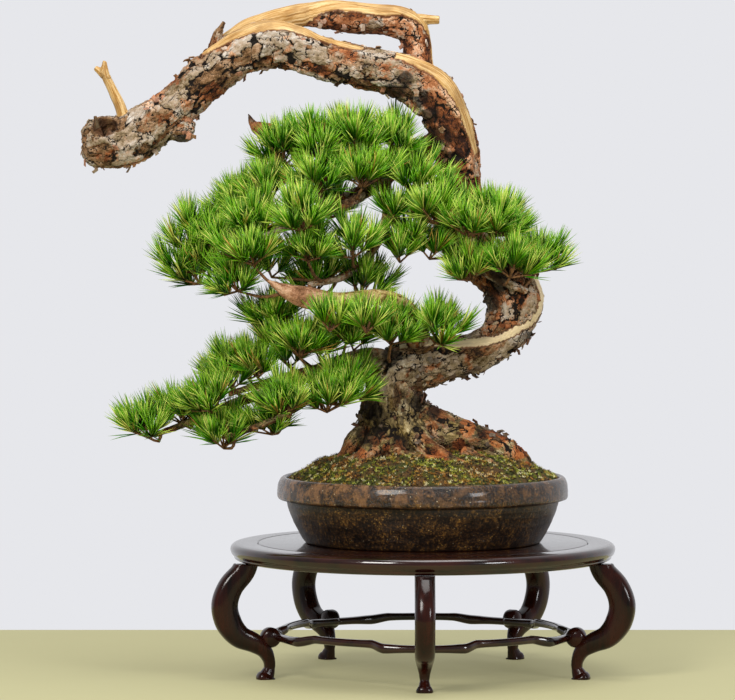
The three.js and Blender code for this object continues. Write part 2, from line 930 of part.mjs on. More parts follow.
function makeTree(group) {
  const boughs = Object.values(BOUGHS);
  const wood = [limb(TRUNK, BARK, BARK.seed, RIDGES), limb(SECOND_LIMB, LIMB_SHAPE, 21)];
  boughs.forEach((stations, i) => wood.push(limb(stations, BOUGH_SHAPE, 31 + i)));
  ROOTS.forEach((stations, i) => wood.push(limb(stations, ROOT_SHAPE, 61 + i)));
  STUBS.forEach((stations, i) => wood.push(limb(stations, { ...BOUGH_SHAPE, step: 18 }, 81 + i)));
  const plans = planSprays();
  const limbs = [TRUNK, SECOND_LIMB, ...boughs, ...ROOTS, ...STUBS];
  const taken = limbs.flatMap((stations) => limbReach(stations));
  for (const plan of plans) {
    const path = planTwig(plan, boughs);
    wood.push(twigSolid(path, plan.grows));
    for (let i = 0; i + 1 < path.length; i++) {
      taken.push({ start: path[i], end: path[i + 1], radius: TWIG.baseRadius, owner: "wood" });
    }
    taken.push({ start: plan.foot, end: plan.fork, radius: SPRAY.stemRadius, owner: plan.name });
  }
  const [x, y] = PLUG_CENTRE;
  const plugBottom = POT_RIM + MOUND[0][1] - SOIL.plugDepth;
  const buried = moundBody(GAP, [
    [420, POT_RIM - 2],
    [420, 40],
  ]);
  const trunk = joined(wood)
    .subtract(limb(HOLLOW, { ...BOUGH_SHAPE, sides: 8, step: 14 }, 97))
    .subtract(buried)
    .add(pin(SOIL.plugRadius, plugBottom, POT_RIM + 36, x, y, 24));
  group.add(meshOf("trunk", trunk, COLOURS.bark));
  plans.forEach((plan, i) => {
    const spray = growSpray(plan, seeded(SPRAY.seed + i), taken);
    group.add(meshOf(plan.name, spray, COLOURS.needles));
  });
}

// The stand's moulded frame: a ring with a ledge inside that carries the panel.
function makeFrame() {
  const top = STAND.height;
  const bottom = top - STAND.edge;
  const ledgeTop = top - STAND.panelThickness - GAP;
  const inner = STAND.panelRadius - STAND.ledge;
  return turned(
    [
      [inner, bottom],
      [STAND.radius - 9, bottom],
      [STAND.radius - 5, bottom + 3],
      [STAND.radius - 5, bottom + 6],
      [STAND.radius - 1, bottom + 9],
      [STAND.radius, top - 8],
      [STAND.radius - 3, top - 3],
      [STAND.radius - 9, top],
      [STAND.panelRadius + STAND.chamfer, top],
      [STAND.panelRadius, top - STAND.chamfer],
      [STAND.panelRadius, ledgeTop],
      [inner, ledgeTop],
      [inner, bottom],
    ],
    STAND.segments,
  );
}

function makePanel() {
  const top = STAND.height;
  const radius = STAND.panelRadius - GAP;
  return turned(
    [
      [0, top - STAND.panelThickness],
      [radius, top - STAND.panelThickness],
      [radius, top - STAND.chamfer],
      [radius - STAND.chamfer, top],
      [0, top],
    ],
    STAND.segments,
  );
}

// The scroll knob inside a leg's foot, with some room round it where a rail is notched to fit it.
function makeKnob(room) {
  const radius = LEG.knobRadius + room;
  const length = 2 * (LEG.knobHalfLength + room);
  const knob = new THREE.CylinderGeometry(radius, radius, length, LEG.knobSides);
  knob.translate(LEG.knobPlace[0], 0, LEG.knobPlace[1]);
  return solidOf(knob);
}

// One curved leg in the plane through the stand's axis, before it is turned to its place.
function makeLeg() {
  const rings = LEG_LINE.map(([distance, height, thickness, width], i) => {
    const before = LEG_LINE[Math.max(i - 1, 0)];
    const after = LEG_LINE[Math.min(i + 1, LEG_LINE.length - 1)];
    const isEnd = i === 0 || i === LEG_LINE.length - 1;
    const along = new THREE.Vector2(after[0] - before[0], after[1] - before[1]).normalize();
    const across = isEnd ? new THREE.Vector2(1, 0) : new THREE.Vector2(-along.y, along.x);
    const ring = [];
    for (let j = 0; j < LEG.sides; j++) {
      const angle = ((j + 0.5) / LEG.sides) * 2 * Math.PI;
      const c = Math.sign(Math.cos(angle)) * Math.abs(Math.cos(angle)) ** 0.75;
      const s = Math.sign(Math.sin(angle)) * Math.abs(Math.sin(angle)) ** 0.75;
      ring.push(
        new THREE.Vector3(distance + across.x * thickness * c, width * s, height + across.y * thickness * c),
      );
    }
    return ring;
  });
  return skinned(rings).add(makeKnob(0));
}

// One rail between two legs: its ends run outside and step in to a straighter middle.
function makeRail() {
  const half = 180 / LEG.count;
  const rings = [];
  for (let i = 0; i <= RAIL.steps; i++) {
    const edgeAngle = half - GAP / (RAIL.endRadius * DEGREE) / 2;
    const degrees = -edgeAngle + (2 * edgeAngle * i) / RAIL.steps;
    const inward = 1 - THREE.MathUtils.smoothstep(Math.abs(degrees), RAIL.stepStart, RAIL.stepEnd);
    const radius = RAIL.endRadius + (RAIL.middleRadius - RAIL.endRadius) * inward;
    const halfWidth = RAIL.halfWidth + (RAIL.middleHalfWidth - RAIL.halfWidth) * inward;
    const outward = new THREE.Vector3(Math.cos(degrees * DEGREE), Math.sin(degrees * DEGREE), 0);
    const ring = [];
    for (let j = 0; j < RAIL.sides; j++) {
      const angle = (j / RAIL.sides) * 2 * Math.PI;
      const p = outward.clone().multiplyScalar(radius + halfWidth * Math.cos(angle));
      p.z = RAIL.height + (RAIL.halfHeight / Math.sin(Math.PI / 3)) * Math.sin(angle);
      ring.push(p);
    }
    rings.push(ring);
  }
  return skinned(rings);
}

function makeStand(group) {
  group.add(meshOf("stand_frame", makeFrame(), COLOURS.rosewood));
  group.add(meshOf("stand_panel", makePanel(), COLOURS.rosewood));
  const spacing = 360 / LEG.count;
  for (let i = 0; i < LEG.count; i++) {
    const leg = meshOf("stand_leg_" + (i + 1), makeLeg(), COLOURS.rosewood);
    leg.rotation.z = (LEG.firstAngle + i * spacing) * DEGREE;
    group.add(leg);
  }
  for (let i = 0; i < LEG.count; i++) {
    const room = [-spacing / 2, spacing / 2].map((turn) => makeKnob(GAP).rotate([0, 0, turn]));
    const rail = makeRail().subtract(room[0]).subtract(room[1]);
    const mesh = meshOf("stand_rail_" + (i + 1), rail, COLOURS.rosewood);
    mesh.rotation.z = (LEG.firstAngle + (i + 0.5) * spacing) * DEGREE;
    group.add(mesh);
  }
}

const bonsai = new THREE.Group();
makeTree(bonsai);
bonsai.add(meshOf("soil", makeSoil(), COLOURS.soil));
bonsai.add(meshOf("pot", makePot(), COLOURS.glaze));
bonsai.add(meshOf("drain_screen_left", makeScreen(-POT.drainOffset), COLOURS.screen));
bonsai.add(meshOf("drain_screen_right", makeScreen(POT.drainOffset), COLOURS.screen));
makeStand(bonsai);

// The origin is the middle of the whole object's footprint, at floor level.
const box = new THREE.Box3().setFromObject(bonsai, true);
const middle = box.getCenter(new THREE.Vector3());
bonsai.position.set(-middle.x, -middle.y, -box.min.z);

export default bonsai;
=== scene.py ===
"""Looks of a trained red pine in a round glazed pot, on a round five-legged display stand.

Sizes are in metres unless a name or a comment says millimetres. The layout lists are in millimetres from
the stand's upright axis, with X to the viewer's right, Y away from the viewer and Z up from the floor.
Colours are display codes such as 0x8A6A4C, which a node tree turns into linear numbers.
"""

import logging
import math
from dataclasses import dataclass
from enum import Enum
from typing import Any, Callable, Sequence

import bpy
import numpy as np
from mathutils import Matrix, Vector


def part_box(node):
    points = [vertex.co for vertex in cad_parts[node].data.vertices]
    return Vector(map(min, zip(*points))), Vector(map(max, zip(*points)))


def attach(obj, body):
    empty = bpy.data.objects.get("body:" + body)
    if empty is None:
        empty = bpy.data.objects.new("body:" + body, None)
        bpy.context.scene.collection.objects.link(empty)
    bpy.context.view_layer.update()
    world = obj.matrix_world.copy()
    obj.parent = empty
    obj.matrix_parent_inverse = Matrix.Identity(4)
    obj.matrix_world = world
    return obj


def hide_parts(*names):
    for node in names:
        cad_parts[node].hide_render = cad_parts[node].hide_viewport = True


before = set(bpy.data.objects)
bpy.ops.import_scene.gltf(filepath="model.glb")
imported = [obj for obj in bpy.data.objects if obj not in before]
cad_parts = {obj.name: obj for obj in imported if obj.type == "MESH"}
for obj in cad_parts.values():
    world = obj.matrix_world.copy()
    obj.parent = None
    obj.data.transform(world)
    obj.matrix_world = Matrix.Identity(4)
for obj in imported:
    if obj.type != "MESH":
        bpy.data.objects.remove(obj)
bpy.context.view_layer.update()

LOG = logging.getLogger("bonsai")
MM = 0.001
BODY = "root"
Array = np.ndarray
Piece = bpy.types.Object
Mesh = bpy.types.Mesh
Material = bpy.types.Material
Pair = tuple[float, float]
Triple = tuple[float, float, float]
Stations = Sequence[Sequence[float]]
# The whole of a limb, counted in stations
WHOLE: Pair = (0.0, 99.0)
UP = np.array([0, 0, 1.0])

POT_LOW, POT_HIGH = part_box("pot")
AXIS = np.array([(POT_LOW.x + POT_HIGH.x) / 2, (POT_LOW.y + POT_HIGH.y) / 2, 0.0])
STAND_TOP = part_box("stand_frame")[1].z
STAND_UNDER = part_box("stand_frame")[0].z

# Limbs of the tree, in millimetres: each place is (x, y, z, radius).
TRUNK: Stations = [
    (-34, 0, 268, 58), (-35, 0, 300, 55), (-40, -2, 334, 44), (-40, -4, 364, 38), (-31, -6, 390, 35),
    (6, -10, 406, 31), (44, -10, 414, 26), (88, -7, 430, 24), (111, 0, 457, 30), (119, 4, 487, 37),
    (106, 10, 516, 34), (74, 18, 537, 29), (51, 22, 559, 27), (44, 24, 585, 28), (48, 22, 617, 28),
    (46, 16, 649, 28), (41, 10, 682, 28), (31, 4, 722, 29), (9, 0, 757, 31), (-23, -2, 776, 30),
    (-56, -2, 785, 28), (-95, 0, 793, 26), (-134, 2, 803, 26), (-166, 4, 815, 28), (-199, 4, 820, 30),
    (-229, 2, 811, 29), (-257, 0, 793, 28), (-290, -2, 768, 27), (-322, -4, 740, 28), (-355, -6, 713, 30),
    (-387, -8, 693, 33), (-414, -8, 692, 34), (-431, -8, 692, 29), (-440, -8, 692, 17),
]
SECOND_LIMB: Stations = [
    (6, 14, 758, 17), (-6, 30, 792, 18), (-9, 38, 820, 18), (-16, 40, 840, 20), (-34, 41, 849, 20.5),
    (-60, 42, 852, 19.5), (-88, 42, 854, 20), (-122, 41, 857, 18), (-156, 39, 857, 15), (-185, 37, 853, 13),
    (-225, 34, 842, 10.5), (-263, 30, 823, 6),
]
BOUGHS: dict[str, Stations] = {
    "crown": [(38, 8, 702, 16), (-10, 14, 680, 14), (-56, 6, 671, 12), (-101, -4, 672, 10),
              (-147, -8, 684, 9), (-176, -8, 695, 11), (-200, -10, 706, 12), (-214, -12, 711, 9.5),
              (-221, -12, 717, 5), (-226, -12, 730, 1.2)],
    "shelf": [(-14, 14, 678, 12), (-62, 0, 637, 10), (-121, -10, 609, 9), (-186, -8, 583, 7),
              (-244, -4, 556, 5.5), (-290, -2, 524, 4)],
    "front": [(-62, 0, 637, 8), (-95, -45, 615, 6.5), (-150, -72, 594, 5), (-205, -80, 572, 4)],
    "back": [(-90, 0, 670, 8), (-120, 45, 652, 6), (-160, 76, 624, 5), (-190, 86, 600, 4)],
    "under": [(-50, 6, 648, 8), (-46, -8, 600, 7), (-66, -25, 552, 6), (-101, -35, 520, 5),
              (-150, -38, 508, 4)],
    "right_low": [(62, 16, 546, 9), (68, -20, 534, 8), (98, -42, 516, 6.5), (120, -44, 506, 5),
                  (134, -34, 500, 4)],
    "right_high": [(46, 20, 606, 9), (60, -26, 592, 8), (88, -38, 580, 6), (108, -38, 576, 4.5)],
    "right_back": [(50, 20, 600, 8), (78, 34, 574, 6), (94, 42, 566, 4.5)],
    "low": [(-26, -10, 398, 16), (-62, -20, 414, 13), (-108, -25, 406, 11), (-160, -25, 386, 9),
            (-218, -20, 364, 7.5), (-277, -15, 341, 6), (-322, -12, 322, 4.5), (-350, -12, 313, 3.5)],
    "low_back": [(-104, -22, 404, 8), (-140, 25, 396, 6.5), (-195, 55, 380, 5.5), (-255, 62, 362, 4)],
    "low_front": [(-104, -30, 402, 7), (-132, -54, 374, 6), (-172, -62, 346, 5), (-215, -56, 326, 4.2),
                  (-258, -46, 311, 3.5)],
    "bare": [(-6, -14, 424, 14), (-10, -40, 456, 13), (-26, -66, 484, 10.5), (-56, -84, 494, 10),
             (-108, -94, 490, 10.5), (-148, -98, 494, 14.5), (-174, -98, 502, 10), (-188, -97, 509, 5.5),
             (-200, -96, 516, 2)],
}
ROOTS: list[Stations] = [
    [(-4, -6, 327, 27), (42, -10, 311, 24), (92, -14, 297, 20), (122, -18, 281, 15), (141, -22, 261, 9)],
    [(-20, -22, 312, 24), (14, -58, 292, 13), (44, -92, 279, 8), (66, -116, 266, 5)],
    [(-50, -10, 316, 30), (-82, -16, 302, 19), (-102, -20, 284, 10), (-114, -24, 270, 6)],
    [(-48, -24, 312, 24), (-66, -58, 294, 14), (-84, -92, 276, 7), (-94, -110, 262, 4)],
    [(-34, 24, 314, 28), (-40, 62, 294, 16), (-30, 102, 276, 8), (-20, 124, 258, 5)],
    [(-6, 20, 314, 24), (40, 44, 294, 15), (78, 66, 276, 8), (96, 76, 258, 5)],
    [(-40, -44, 296, 12), (-22, -68, 288, 8), (10, -84, 284, 7), (42, -94, 281, 6.5), (66, -98, 276, 4)],
    [(52, -50, 292, 9), (80, -72, 282, 6), (104, -84, 273, 4)],
    [(-70, -40, 292, 9), (-96, -62, 281, 6), (-118, -70, 273, 4)],
]
DEAD_TWIGS: list[Stations] = [
    [(-386, -10, 706, 8.5), (-391, -11, 734, 7), (-403, -12, 762, 6.4), (-412, -13, 782, 6),
     (-412, -13, 798, 3)],
    [(-409, -13, 776, 5.5), (-425, -12, 789, 3.5)],
    [(-22, 40, 853, 9), (22, 40, 852, 5.5)],
    [(-416, -28, 692, 5), (-421, -33, 712, 4), (-424, -35, 727, 2.4)],
    [(-408, -30, 690, 4), (-405, -32, 712, 3)],
]
TRUNK_STUBS: list[Stations] = [
    [(-334, -6, 724, 18), (-316, -6, 711, 18), (-298, -6, 706, 12)],
    [(108, 2, 440, 15), (134, -4, 452, 9), (144, -4, 458, 4)],
    [(-272, 8, 812, 8), (-268, 10, 830, 6.5), (-258, 12, 849, 2.5)],
]
BOUGH_STUB: Stations = [(-110, -26, 402, 8), (-116, -34, 352, 5)]
# Where loose bark is thickest: (x, y, z, reach).
ROUGH_SPOTS = [
    (-262, 12, 822, 22), (-300, -6, 708, 26), (-330, -6, 752, 16), (-296, -2, 790, 12), (-268, -2, 766, 16),
    (-376, -8, 660, 16), (132, -5, 440, 26), (104, -5, 428, 22), (66, -8, 392, 22), (30, -8, 384, 26),
    (62, 14, 545, 22), (84, 10, 500, 16), (92, -14, 318, 24), (-70, -6, 330, 20), (-6, -6, 352, 22),
]
# Where the bark is darkened, as painted shade under limbs, behind needles and in hollows and as dark bark of
# its own, and where it is bright orange, as seen from the front: (x, z, reach).
SHADE_AND_DARK_BARK_SPOTS = [
    (-312, 692, 22), (-23, 773, 18), (-4, 750, 18), (10, 728, 18), (-36, 758, 24), (22, 700, 26),
    (38, 670, 18), (84, 487, 26), (98, 504, 18), (100, 524, 24), (70, 532, 22), (-68, 372, 19),
    (-66, 345, 22), (-58, 325, 16), (-6, 357, 20), (14, 343, 14), (-76, 312, 16), (60, 386, 18),
    (100, 397, 18), (126, 416, 20), (140, 440, 16), (-42, 413, 20), (30, 372, 12),
]
BRIGHT_SPOTS = [
    (57, 322, 17), (48, 301, 14), (97, 309, 20), (124, 291, 15), (134, 272, 11), (16, 283, 22), (48, 279, 14),
    (91, 270, 10), (-79, 293, 9), (-48, 299, 8),
]
HOLLOW: Stations = [(-414, -52, 734, 18), (-412, -34, 717, 16), (-408, -18, 705, 13), (-402, -6, 698, 8)]

# Small tufts that fill the gaps between the sprays: (x, y, z) of each crown's middle.
FILL_TUFTS = [(-16, -48, 574), (-40, -52, 604), (-308, -12, 560), (-320, -10, 534), (8, -40, 556),
              (-120, -124, 466), (-74, -122, 464), (-173, -40, 416), (-133, -46, 426), (-90, -44, 438),
              (-214, -34, 402), (-248, -24, 386), (-196, -20, 436), (-196, -30, 532), (-30, -50, 552),
              (-298, -12, 584)]

# The middles of the sprays' crowns, in millimetres, and the middle that each pad's sprays lean away from.
PADS: dict[str, tuple[Triple, Stations]] = {
    "upper": ((-140, -10, 560), [
        (-30, -25, 690), (-85, -35, 693), (-134, -40, 690), (-186, -20, 676), (-92, 42, 690), (-8, -46, 641),
        (-74, -62, 646), (-134, -58, 641), (-204, -30, 630), (-244, 8, 610), (-156, -100, 592),
        (-222, -58, 583), (-274, -24, 563), (-298, -8, 520), (-247, -55, 512), (-224, -84, 546),
        (-121, 88, 604), (-86, -80, 556),
        (-150, -82, 552), (-146, -16, 508), (-72, -16, 504),
    ]),
    "right": ((60, 0, 545), [
        (10, -70, 600), (56, -66, 584), (98, -56, 584), (102, 44, 589), (62, -60, 526), (116, -70, 530),
        (154, -26, 536),
    ]),
    "lower": ((-150, -20, 330), [
        (22, -66, 446), (-36, -72, 445), (-95, -62, 448), (-160, -76, 429), (-196, -34, 464), (-94, -64, 374),
        (-121, -84, 358), (-179, -90, 357), (-232, -4, 396), (-254, 62, 384), (-204, -34, 326),
        (-277, -48, 357), (-266, -36, 308), (-320, -4, 338), (-362, -20, 320),
    ]),
}


def linear(code: int) -> Triple:
    """Turns a display colour such as 0x8A6A4C into the linear colour that shaders use."""
    shares = [((code >> shift) & 255) / 255 for shift in (16, 8, 0)]
    return tuple(c / 12.92 if c <= 0.04045 else ((c + 0.055) / 1.055) ** 2.4 for c in shares)


def smoothstep(low: Any, high: Any, value: Any) -> Any:
    """A smooth rise from 0 at low to 1 at high, for numbers or arrays."""
    t = np.clip((value - low) / (high - low), 0.0, 1.0)
    return t * t * (3 - 2 * t)


def unit(vectors: Array) -> Array:
    """The same directions with a length of one."""
    return vectors / np.maximum(np.linalg.norm(vectors, axis=-1, keepdims=True), 1e-12)


def round_turn(count: int) -> Array:
    """Evenly spaced angles of one full turn."""
    return np.linspace(0, 2 * np.pi, count, endpoint=False)


# Noise on arrays of points

CELL_FACTORS = np.array([73856093, 19349663, 83492791], np.uint32)
SEED_FACTOR = 2654435761
MIXING = ((15, 0x2C1B3C6D), (12, 0x297A2D39), (15, 1))
OCTAVE_SCALE, OCTAVE_SHIFT = 2.03, 7.7
NOISE_SPREAD = 1.6


def hashed(cells: Array, seed: int) -> Array:
    """A repeatable random number from 0 to 1 for each whole-number cell.

    Args:
        cells: Whole numbers, with X, Y and Z in the last axis.
        seed: Another seed gives other numbers.

    Returns:
        One number for each cell.
    """
    c = np.asarray(cells).astype(np.int64).astype(np.uint32)
    h = np.bitwise_xor.reduce(c * CELL_FACTORS, axis=-1)
    h ^= np.uint32((seed * SEED_FACTOR) & 0xFFFFFFFF)
    for shift, factor in MIXING:
        h ^= h >> np.uint32(shift)
        h *= np.uint32(factor)
    return h.astype(np.float64) / 2.0**32


def noise(points: Array, seed: int = 0, octaves: int = 3) -> Array:
    """Smooth noise from about -1 to 1 with a feature size of one unit.

    Args:
        points: Places, as rows of X, Y and Z.
        seed: Another seed gives another pattern.
        octaves: How many finer layers are added.

    Returns:
        One value for each place.
    """
    total = np.zeros(len(points))
    weight, reach = 1.0, 0.0
    for octave in range(octaves):
        base = np.floor(points)
        t = points - base
        t = t * t * (3 - 2 * t)
        layer = np.zeros(len(points))
        for corner in np.ndindex(2, 2, 2):
            share = np.prod(np.where(corner, t, 1 - t), axis=1)
            layer += share * hashed(base + corner, seed + 17 * octave)
        total += weight * (2 * layer - 1)
        reach += weight
        weight *= 0.5
        points = points * OCTAVE_SCALE + OCTAVE_SHIFT
    return total / reach * NOISE_SPREAD


def cells(points: Array, seed: int) -> tuple[Array, Array, Array]:
    """Splits space into uneven cells of about one unit, as plates of bark are.

    Args:
        points: Places, as rows of X, Y and Z.
        seed: Another seed gives other cells.

    Returns:
        The distance from each place to its cell's edge, its cell's own random number, and the height there of
        a slope that runs across the cell its own way.
    """
    base = np.floor(points)
    nearest = np.full(len(points), np.inf)
    second = np.full(len(points), np.inf)
    owner, slope = np.zeros(len(points)), np.zeros(len(points))
    for step in np.ndindex(3, 3, 3):
        cell = base + (np.array(step) - 1)
        middle = cell + np.stack([hashed(cell, seed + k) for k in range(3)], axis=1)
        distance = np.linalg.norm(points - middle, axis=1)
        closer = distance < nearest
        second = np.where(closer, nearest, np.minimum(second, distance))
        owner = np.where(closer, hashed(cell, seed + 5), owner)
        lean = np.stack([hashed(cell, seed + 7 + k) for k in range(3)], axis=1) - 0.5
        slope = np.where(closer, np.sum((points - middle) * lean, axis=1), slope)
        nearest = np.where(closer, distance, nearest)
    return second - nearest, owner, slope


# Meshes


def piece_from(name: str, mesh: Mesh, material: Material | None = None, smooth: bool = True) -> Piece:
    """Links a mesh into the scene as an object at the origin."""
    mesh.name = name
    piece = bpy.data.objects.new(name, mesh)
    bpy.context.scene.collection.objects.link(piece)
    if smooth:
        mesh.shade_smooth()
    if material:
        mesh.materials.clear()
        mesh.materials.append(material)
    return piece


def evaluated_mesh(piece: Piece) -> Mesh:
    """The mesh that the piece's modifiers make; the piece itself is removed."""
    bpy.context.view_layer.update()
    graph = bpy.context.evaluated_depsgraph_get()
    mesh = bpy.data.meshes.new_from_object(piece.evaluated_get(graph))
    bpy.data.objects.remove(piece)
    return mesh


def values_of(mesh: Mesh, what: str) -> Array:
    """The co or normal of every vertex, as rows."""
    flat = np.empty(len(mesh.vertices) * 3, np.float32)
    mesh.vertices.foreach_get(what, flat)
    return flat.reshape(-1, 3).astype(np.float64)


def store(mesh: Mesh, **kept: Any) -> None:
    """Keeps numbers or vectors for each vertex.

    Args:
        mesh: The mesh.
        kept: One number or vector for each vertex, by the name that shaders and node trees read.
    """
    for name, values in kept.items():
        values = np.asarray(values)
        kind, field = ("FLOAT_VECTOR", "vector") if values.ndim == 2 else ("FLOAT", "value")
        mesh.attributes.new(name, kind, "POINT").data.foreach_set(field, values.astype(np.float32).ravel())


def reshape(mesh: Mesh, points: Array) -> None:
    """Moves every vertex to its new place."""
    mesh.vertices.foreach_set("co", points.astype(np.float32).ravel())
    mesh.update()


def dress(piece: Piece, slot: str, *nodes: str) -> Piece:
    """Ties a piece to the one body and hides the nodes of the solid model that it stands for.

    Args:
        piece: The piece.
        slot: Not used.
        nodes: The nodes of the solid model that it stands for.

    Returns:
        The piece.
    """
    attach(piece, BODY)
    if nodes:
        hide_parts(*nodes)
    return piece


class Shell:
    """Gathers closed surfaces into one mesh."""

    def __init__(self) -> None:
        """Starts with no surface."""
        self.points: list[Array] = []
        self.faces: list[tuple[int, ...]] = []
        self.count = 0

    def add(self, points: Array, faces: Sequence[Sequence[int]]) -> None:
        """Adds one surface, its faces counted from its own first point."""
        self.points.append(np.asarray(points, float))
        self.faces.extend(tuple(int(i) + self.count for i in face) for face in faces)
        self.count += len(points)

    def skin(self, rings: Array, loop: bool = False) -> None:
        """Adds a surface through a row of rings.

        Args:
            rings: Points by ring, by place in the ring, by coordinate.
            loop: Whether the last ring joins the first; otherwise both ends are closed.
        """
        rows, sides = rings.shape[:2]
        points = rings.reshape(-1, 3)
        i = np.arange(rows if loop else rows - 1)[:, None] * sides
        j = np.arange(sides)[None, :]
        k = (j + 1) % sides
        ahead = (i + sides) % (rows * sides)
        faces = np.stack([i + j, i + k, ahead + k, ahead + j], axis=-1).reshape(-1, 4).tolist()
        if not loop:
            for start, order in ((0, -1), ((rows - 1) * sides, 1)):
                middle = len(points)
                points = np.vstack([points, rings.reshape(-1, 3)[start:start + sides].mean(0)])
                for n in range(sides):
                    a, b = start + n, start + (n + 1) % sides
                    faces.append([a, b, middle] if order > 0 else [b, a, middle])
        self.add(points, faces)

    def mesh(self, name: str) -> Mesh:
        """The gathered surfaces as a mesh.

        Args:
            name: The mesh's name.

        Returns:
            The mesh.
        """
        mesh = bpy.data.meshes.new(name)
        mesh.from_pydata(np.vstack(self.points).tolist(), [], self.faces)
        mesh.update()
        return mesh


def turned(outline: Stations, segments: int) -> Shell:
    """A body turned about the stand's upright axis.

    Args:
        outline: Radius and height pairs. It starts and ends on the axis, or closes on itself.
        segments: How many faces go round.

    Returns:
        The closed surface.
    """
    angles = round_turn(segments)
    shell = Shell()
    profile = np.array(outline, float)
    closes = bool(np.allclose(profile[0], profile[-1]))
    profile = profile[:-1] if closes else profile[1:-1]
    ring = np.stack([np.cos(angles), np.sin(angles)], axis=1)
    rings = np.empty((len(profile), segments, 3))
    rings[:, :, :2] = profile[:, 0, None, None] * ring + AXIS[:2]
    rings[:, :, 2] = profile[:, 1, None]
    shell.skin(rings, loop=closes)
    return shell


def rounded(outline: Stations, reach: float, steps: int = 3) -> list[Pair]:
    """An outline with each inner corner replaced by a small curve.

    Args:
        outline: Corner points. The first and last stay as they are.
        reach: How far from the corner the curve starts, at most.
        steps: How many stretches each curve has.

    Returns:
        The new points.
    """
    points = [np.array(p, float) for p in outline]
    made = [tuple(points[0])]
    for before, corner, after in zip(points, points[1:], points[2:]):
        to_before, to_after = before - corner, after - corner
        near = min(reach, 0.45 * np.linalg.norm(to_before), 0.45 * np.linalg.norm(to_after))
        start = corner + unit(to_before) * near
        end = corner + unit(to_after) * near
        for k in range(steps + 1):
            t = k / steps
            made.append(tuple((1 - t) ** 2 * start + 2 * t * (1 - t) * corner + t * t * end))
    made.append(tuple(points[-1]))
    return made


def joined(*parts: tuple[float, float, Stations]) -> list[Pair]:
    """The corners of a section whose parts each say what radius and height their pairs count from."""
    return [(radius + across, height + up) for radius, height, part in parts for across, up in part]


def squarish(count: int) -> tuple[Array, Array]:
    """Both coordinates of a section between a circle and a square."""
    angle = round_turn(count)
    across, up = (np.sign(wave) * np.abs(wave) ** 0.7 for wave in (np.cos(angle), np.sin(angle)))
    return across, up


def along_curve(points: Array, places: Array) -> Array:
    """Points on the centripetal Catmull-Rom curve through some points.

    Args:
        points: The points that the curve passes.
        places: Where to read it, counted in points.

    Returns:
        One point for each place.
    """
    padded = np.vstack([2 * points[0] - points[1], points, 2 * points[-1] - points[-2]])
    i = np.minimum(np.floor(places).astype(int), len(points) - 2)
    w = (places - i)[:, None]
    p0, p1, p2, p3 = (padded[i + k] for k in range(4))
    d0, d1, d2 = (np.maximum(np.linalg.norm(b - a, axis=1, keepdims=True) ** 0.5, 1e-6)
                  for a, b in ((p0, p1), (p1, p2), (p2, p3)))
    t1 = ((p1 - p0) / d0 - (p2 - p0) / (d0 + d1) + (p2 - p1) / d1) * d1
    t2 = ((p2 - p1) / d1 - (p3 - p1) / (d1 + d2) + (p3 - p2) / d2) * d1
    return p1 + t1 * w + (-3 * p1 + 3 * p2 - 2 * t1 - t2) * w**2 + (2 * p1 - 2 * p2 + t1 + t2) * w**3


class Spine:
    """A limb's centre line with its radius, read at even steps."""

    def __init__(self, stations: Stations, step: float = 0.005) -> None:
        """Reads the line.

        Args:
            stations: The limb's places in millimetres, each with its radius.
            step: The distance between two readings.
        """
        data = np.array(stations, float)
        line = data[:, :3] * MM + AXIS
        fine = np.linspace(0, len(data) - 1, (len(data) - 1) * 24 + 1)
        dense = along_curve(line, fine)
        lengths = np.concatenate([[0], np.cumsum(np.linalg.norm(np.diff(dense, axis=0), axis=1))])
        self.length = float(lengths[-1])
        self.along = np.linspace(0, self.length, max(2, round(self.length / step)) + 1)
        self.places = np.interp(self.along, lengths, fine)
        self.points = along_curve(line, self.places)
        i = np.minimum(self.places.astype(int), len(data) - 2)
        s = smoothstep(0, 1, self.places - i)
        self.radii = (data[i, 3] * (1 - s) + data[i + 1, 3] * s) * MM
        self.tangents = unit(np.gradient(self.points, axis=0))
        towards_viewer = np.array([0.0, -1.0, 0.0])
        side = towards_viewer - self.tangents * (self.tangents @ towards_viewer)[:, None]
        self.sides = unit(side)
        self.ups = np.cross(self.tangents, self.sides)

    def rings(self, sides: int, swell: float = 0.0, phase: float = 0.0, span: Pair = WHOLE) -> Array:
        """Rings of points round the line.

        Args:
            sides: Points in a ring.
            swell: How far the section departs from a circle, as a share of its radius.
            phase: Where the swelling starts.
            span: The first and last place; an end that is cut narrows, to hide inside the limb's next piece.

        Returns:
            Points by ring, by place in the ring, by coordinate.
        """
        rows = np.flatnonzero((self.places >= span[0]) & (self.places <= span[1]))
        narrow = np.ones(len(rows))
        if span[0] > 0:
            narrow[:3] = (0.7, 0.9, 0.98)
        if span[1] < self.places[-1]:
            narrow[-3:] = (0.98, 0.9, 0.7)
        angle = round_turn(sides)[None, :]
        s = self.along[rows, None]
        wave = np.sin(3 * angle + s * 38 + phase) + 0.6 * np.sin(2 * angle - s * 61 + 2 * phase)
        radius = (self.radii[rows] * narrow)[:, None] * (1 + swell * wave)
        sides, ups = self.sides[rows, None], self.ups[rows, None]
        offset = sides * np.cos(angle)[..., None] + ups * np.sin(angle)[..., None]
        return self.points[rows, None] + offset * radius[..., None]


# Node trees


def socket_named(sockets: Any, key: str | int) -> Any:
    """Finds a socket by its number, its identifier or its name."""
    if isinstance(key, int):
        return sockets[key]
    for item in sockets:
        if item.identifier == key:
            return item
    return sockets[key]


def arithmetic(operation: str, reflected: bool = False) -> Callable[["Wire", Any], "Wire"]:
    """A method of Wire for one operator.

    Args:
        operation: The Math node's operation.
        reflected: Whether the wire stands on the operator's right.

    Returns:
        The method.
    """

    def method(self: "Wire", other: Any) -> "Wire":
        """Adds the Math node."""
        values = (other, self) if reflected else (self, other)
        return self.graph.add("ShaderNodeMath", {"operation": operation}, dict(enumerate(values)))

    return method


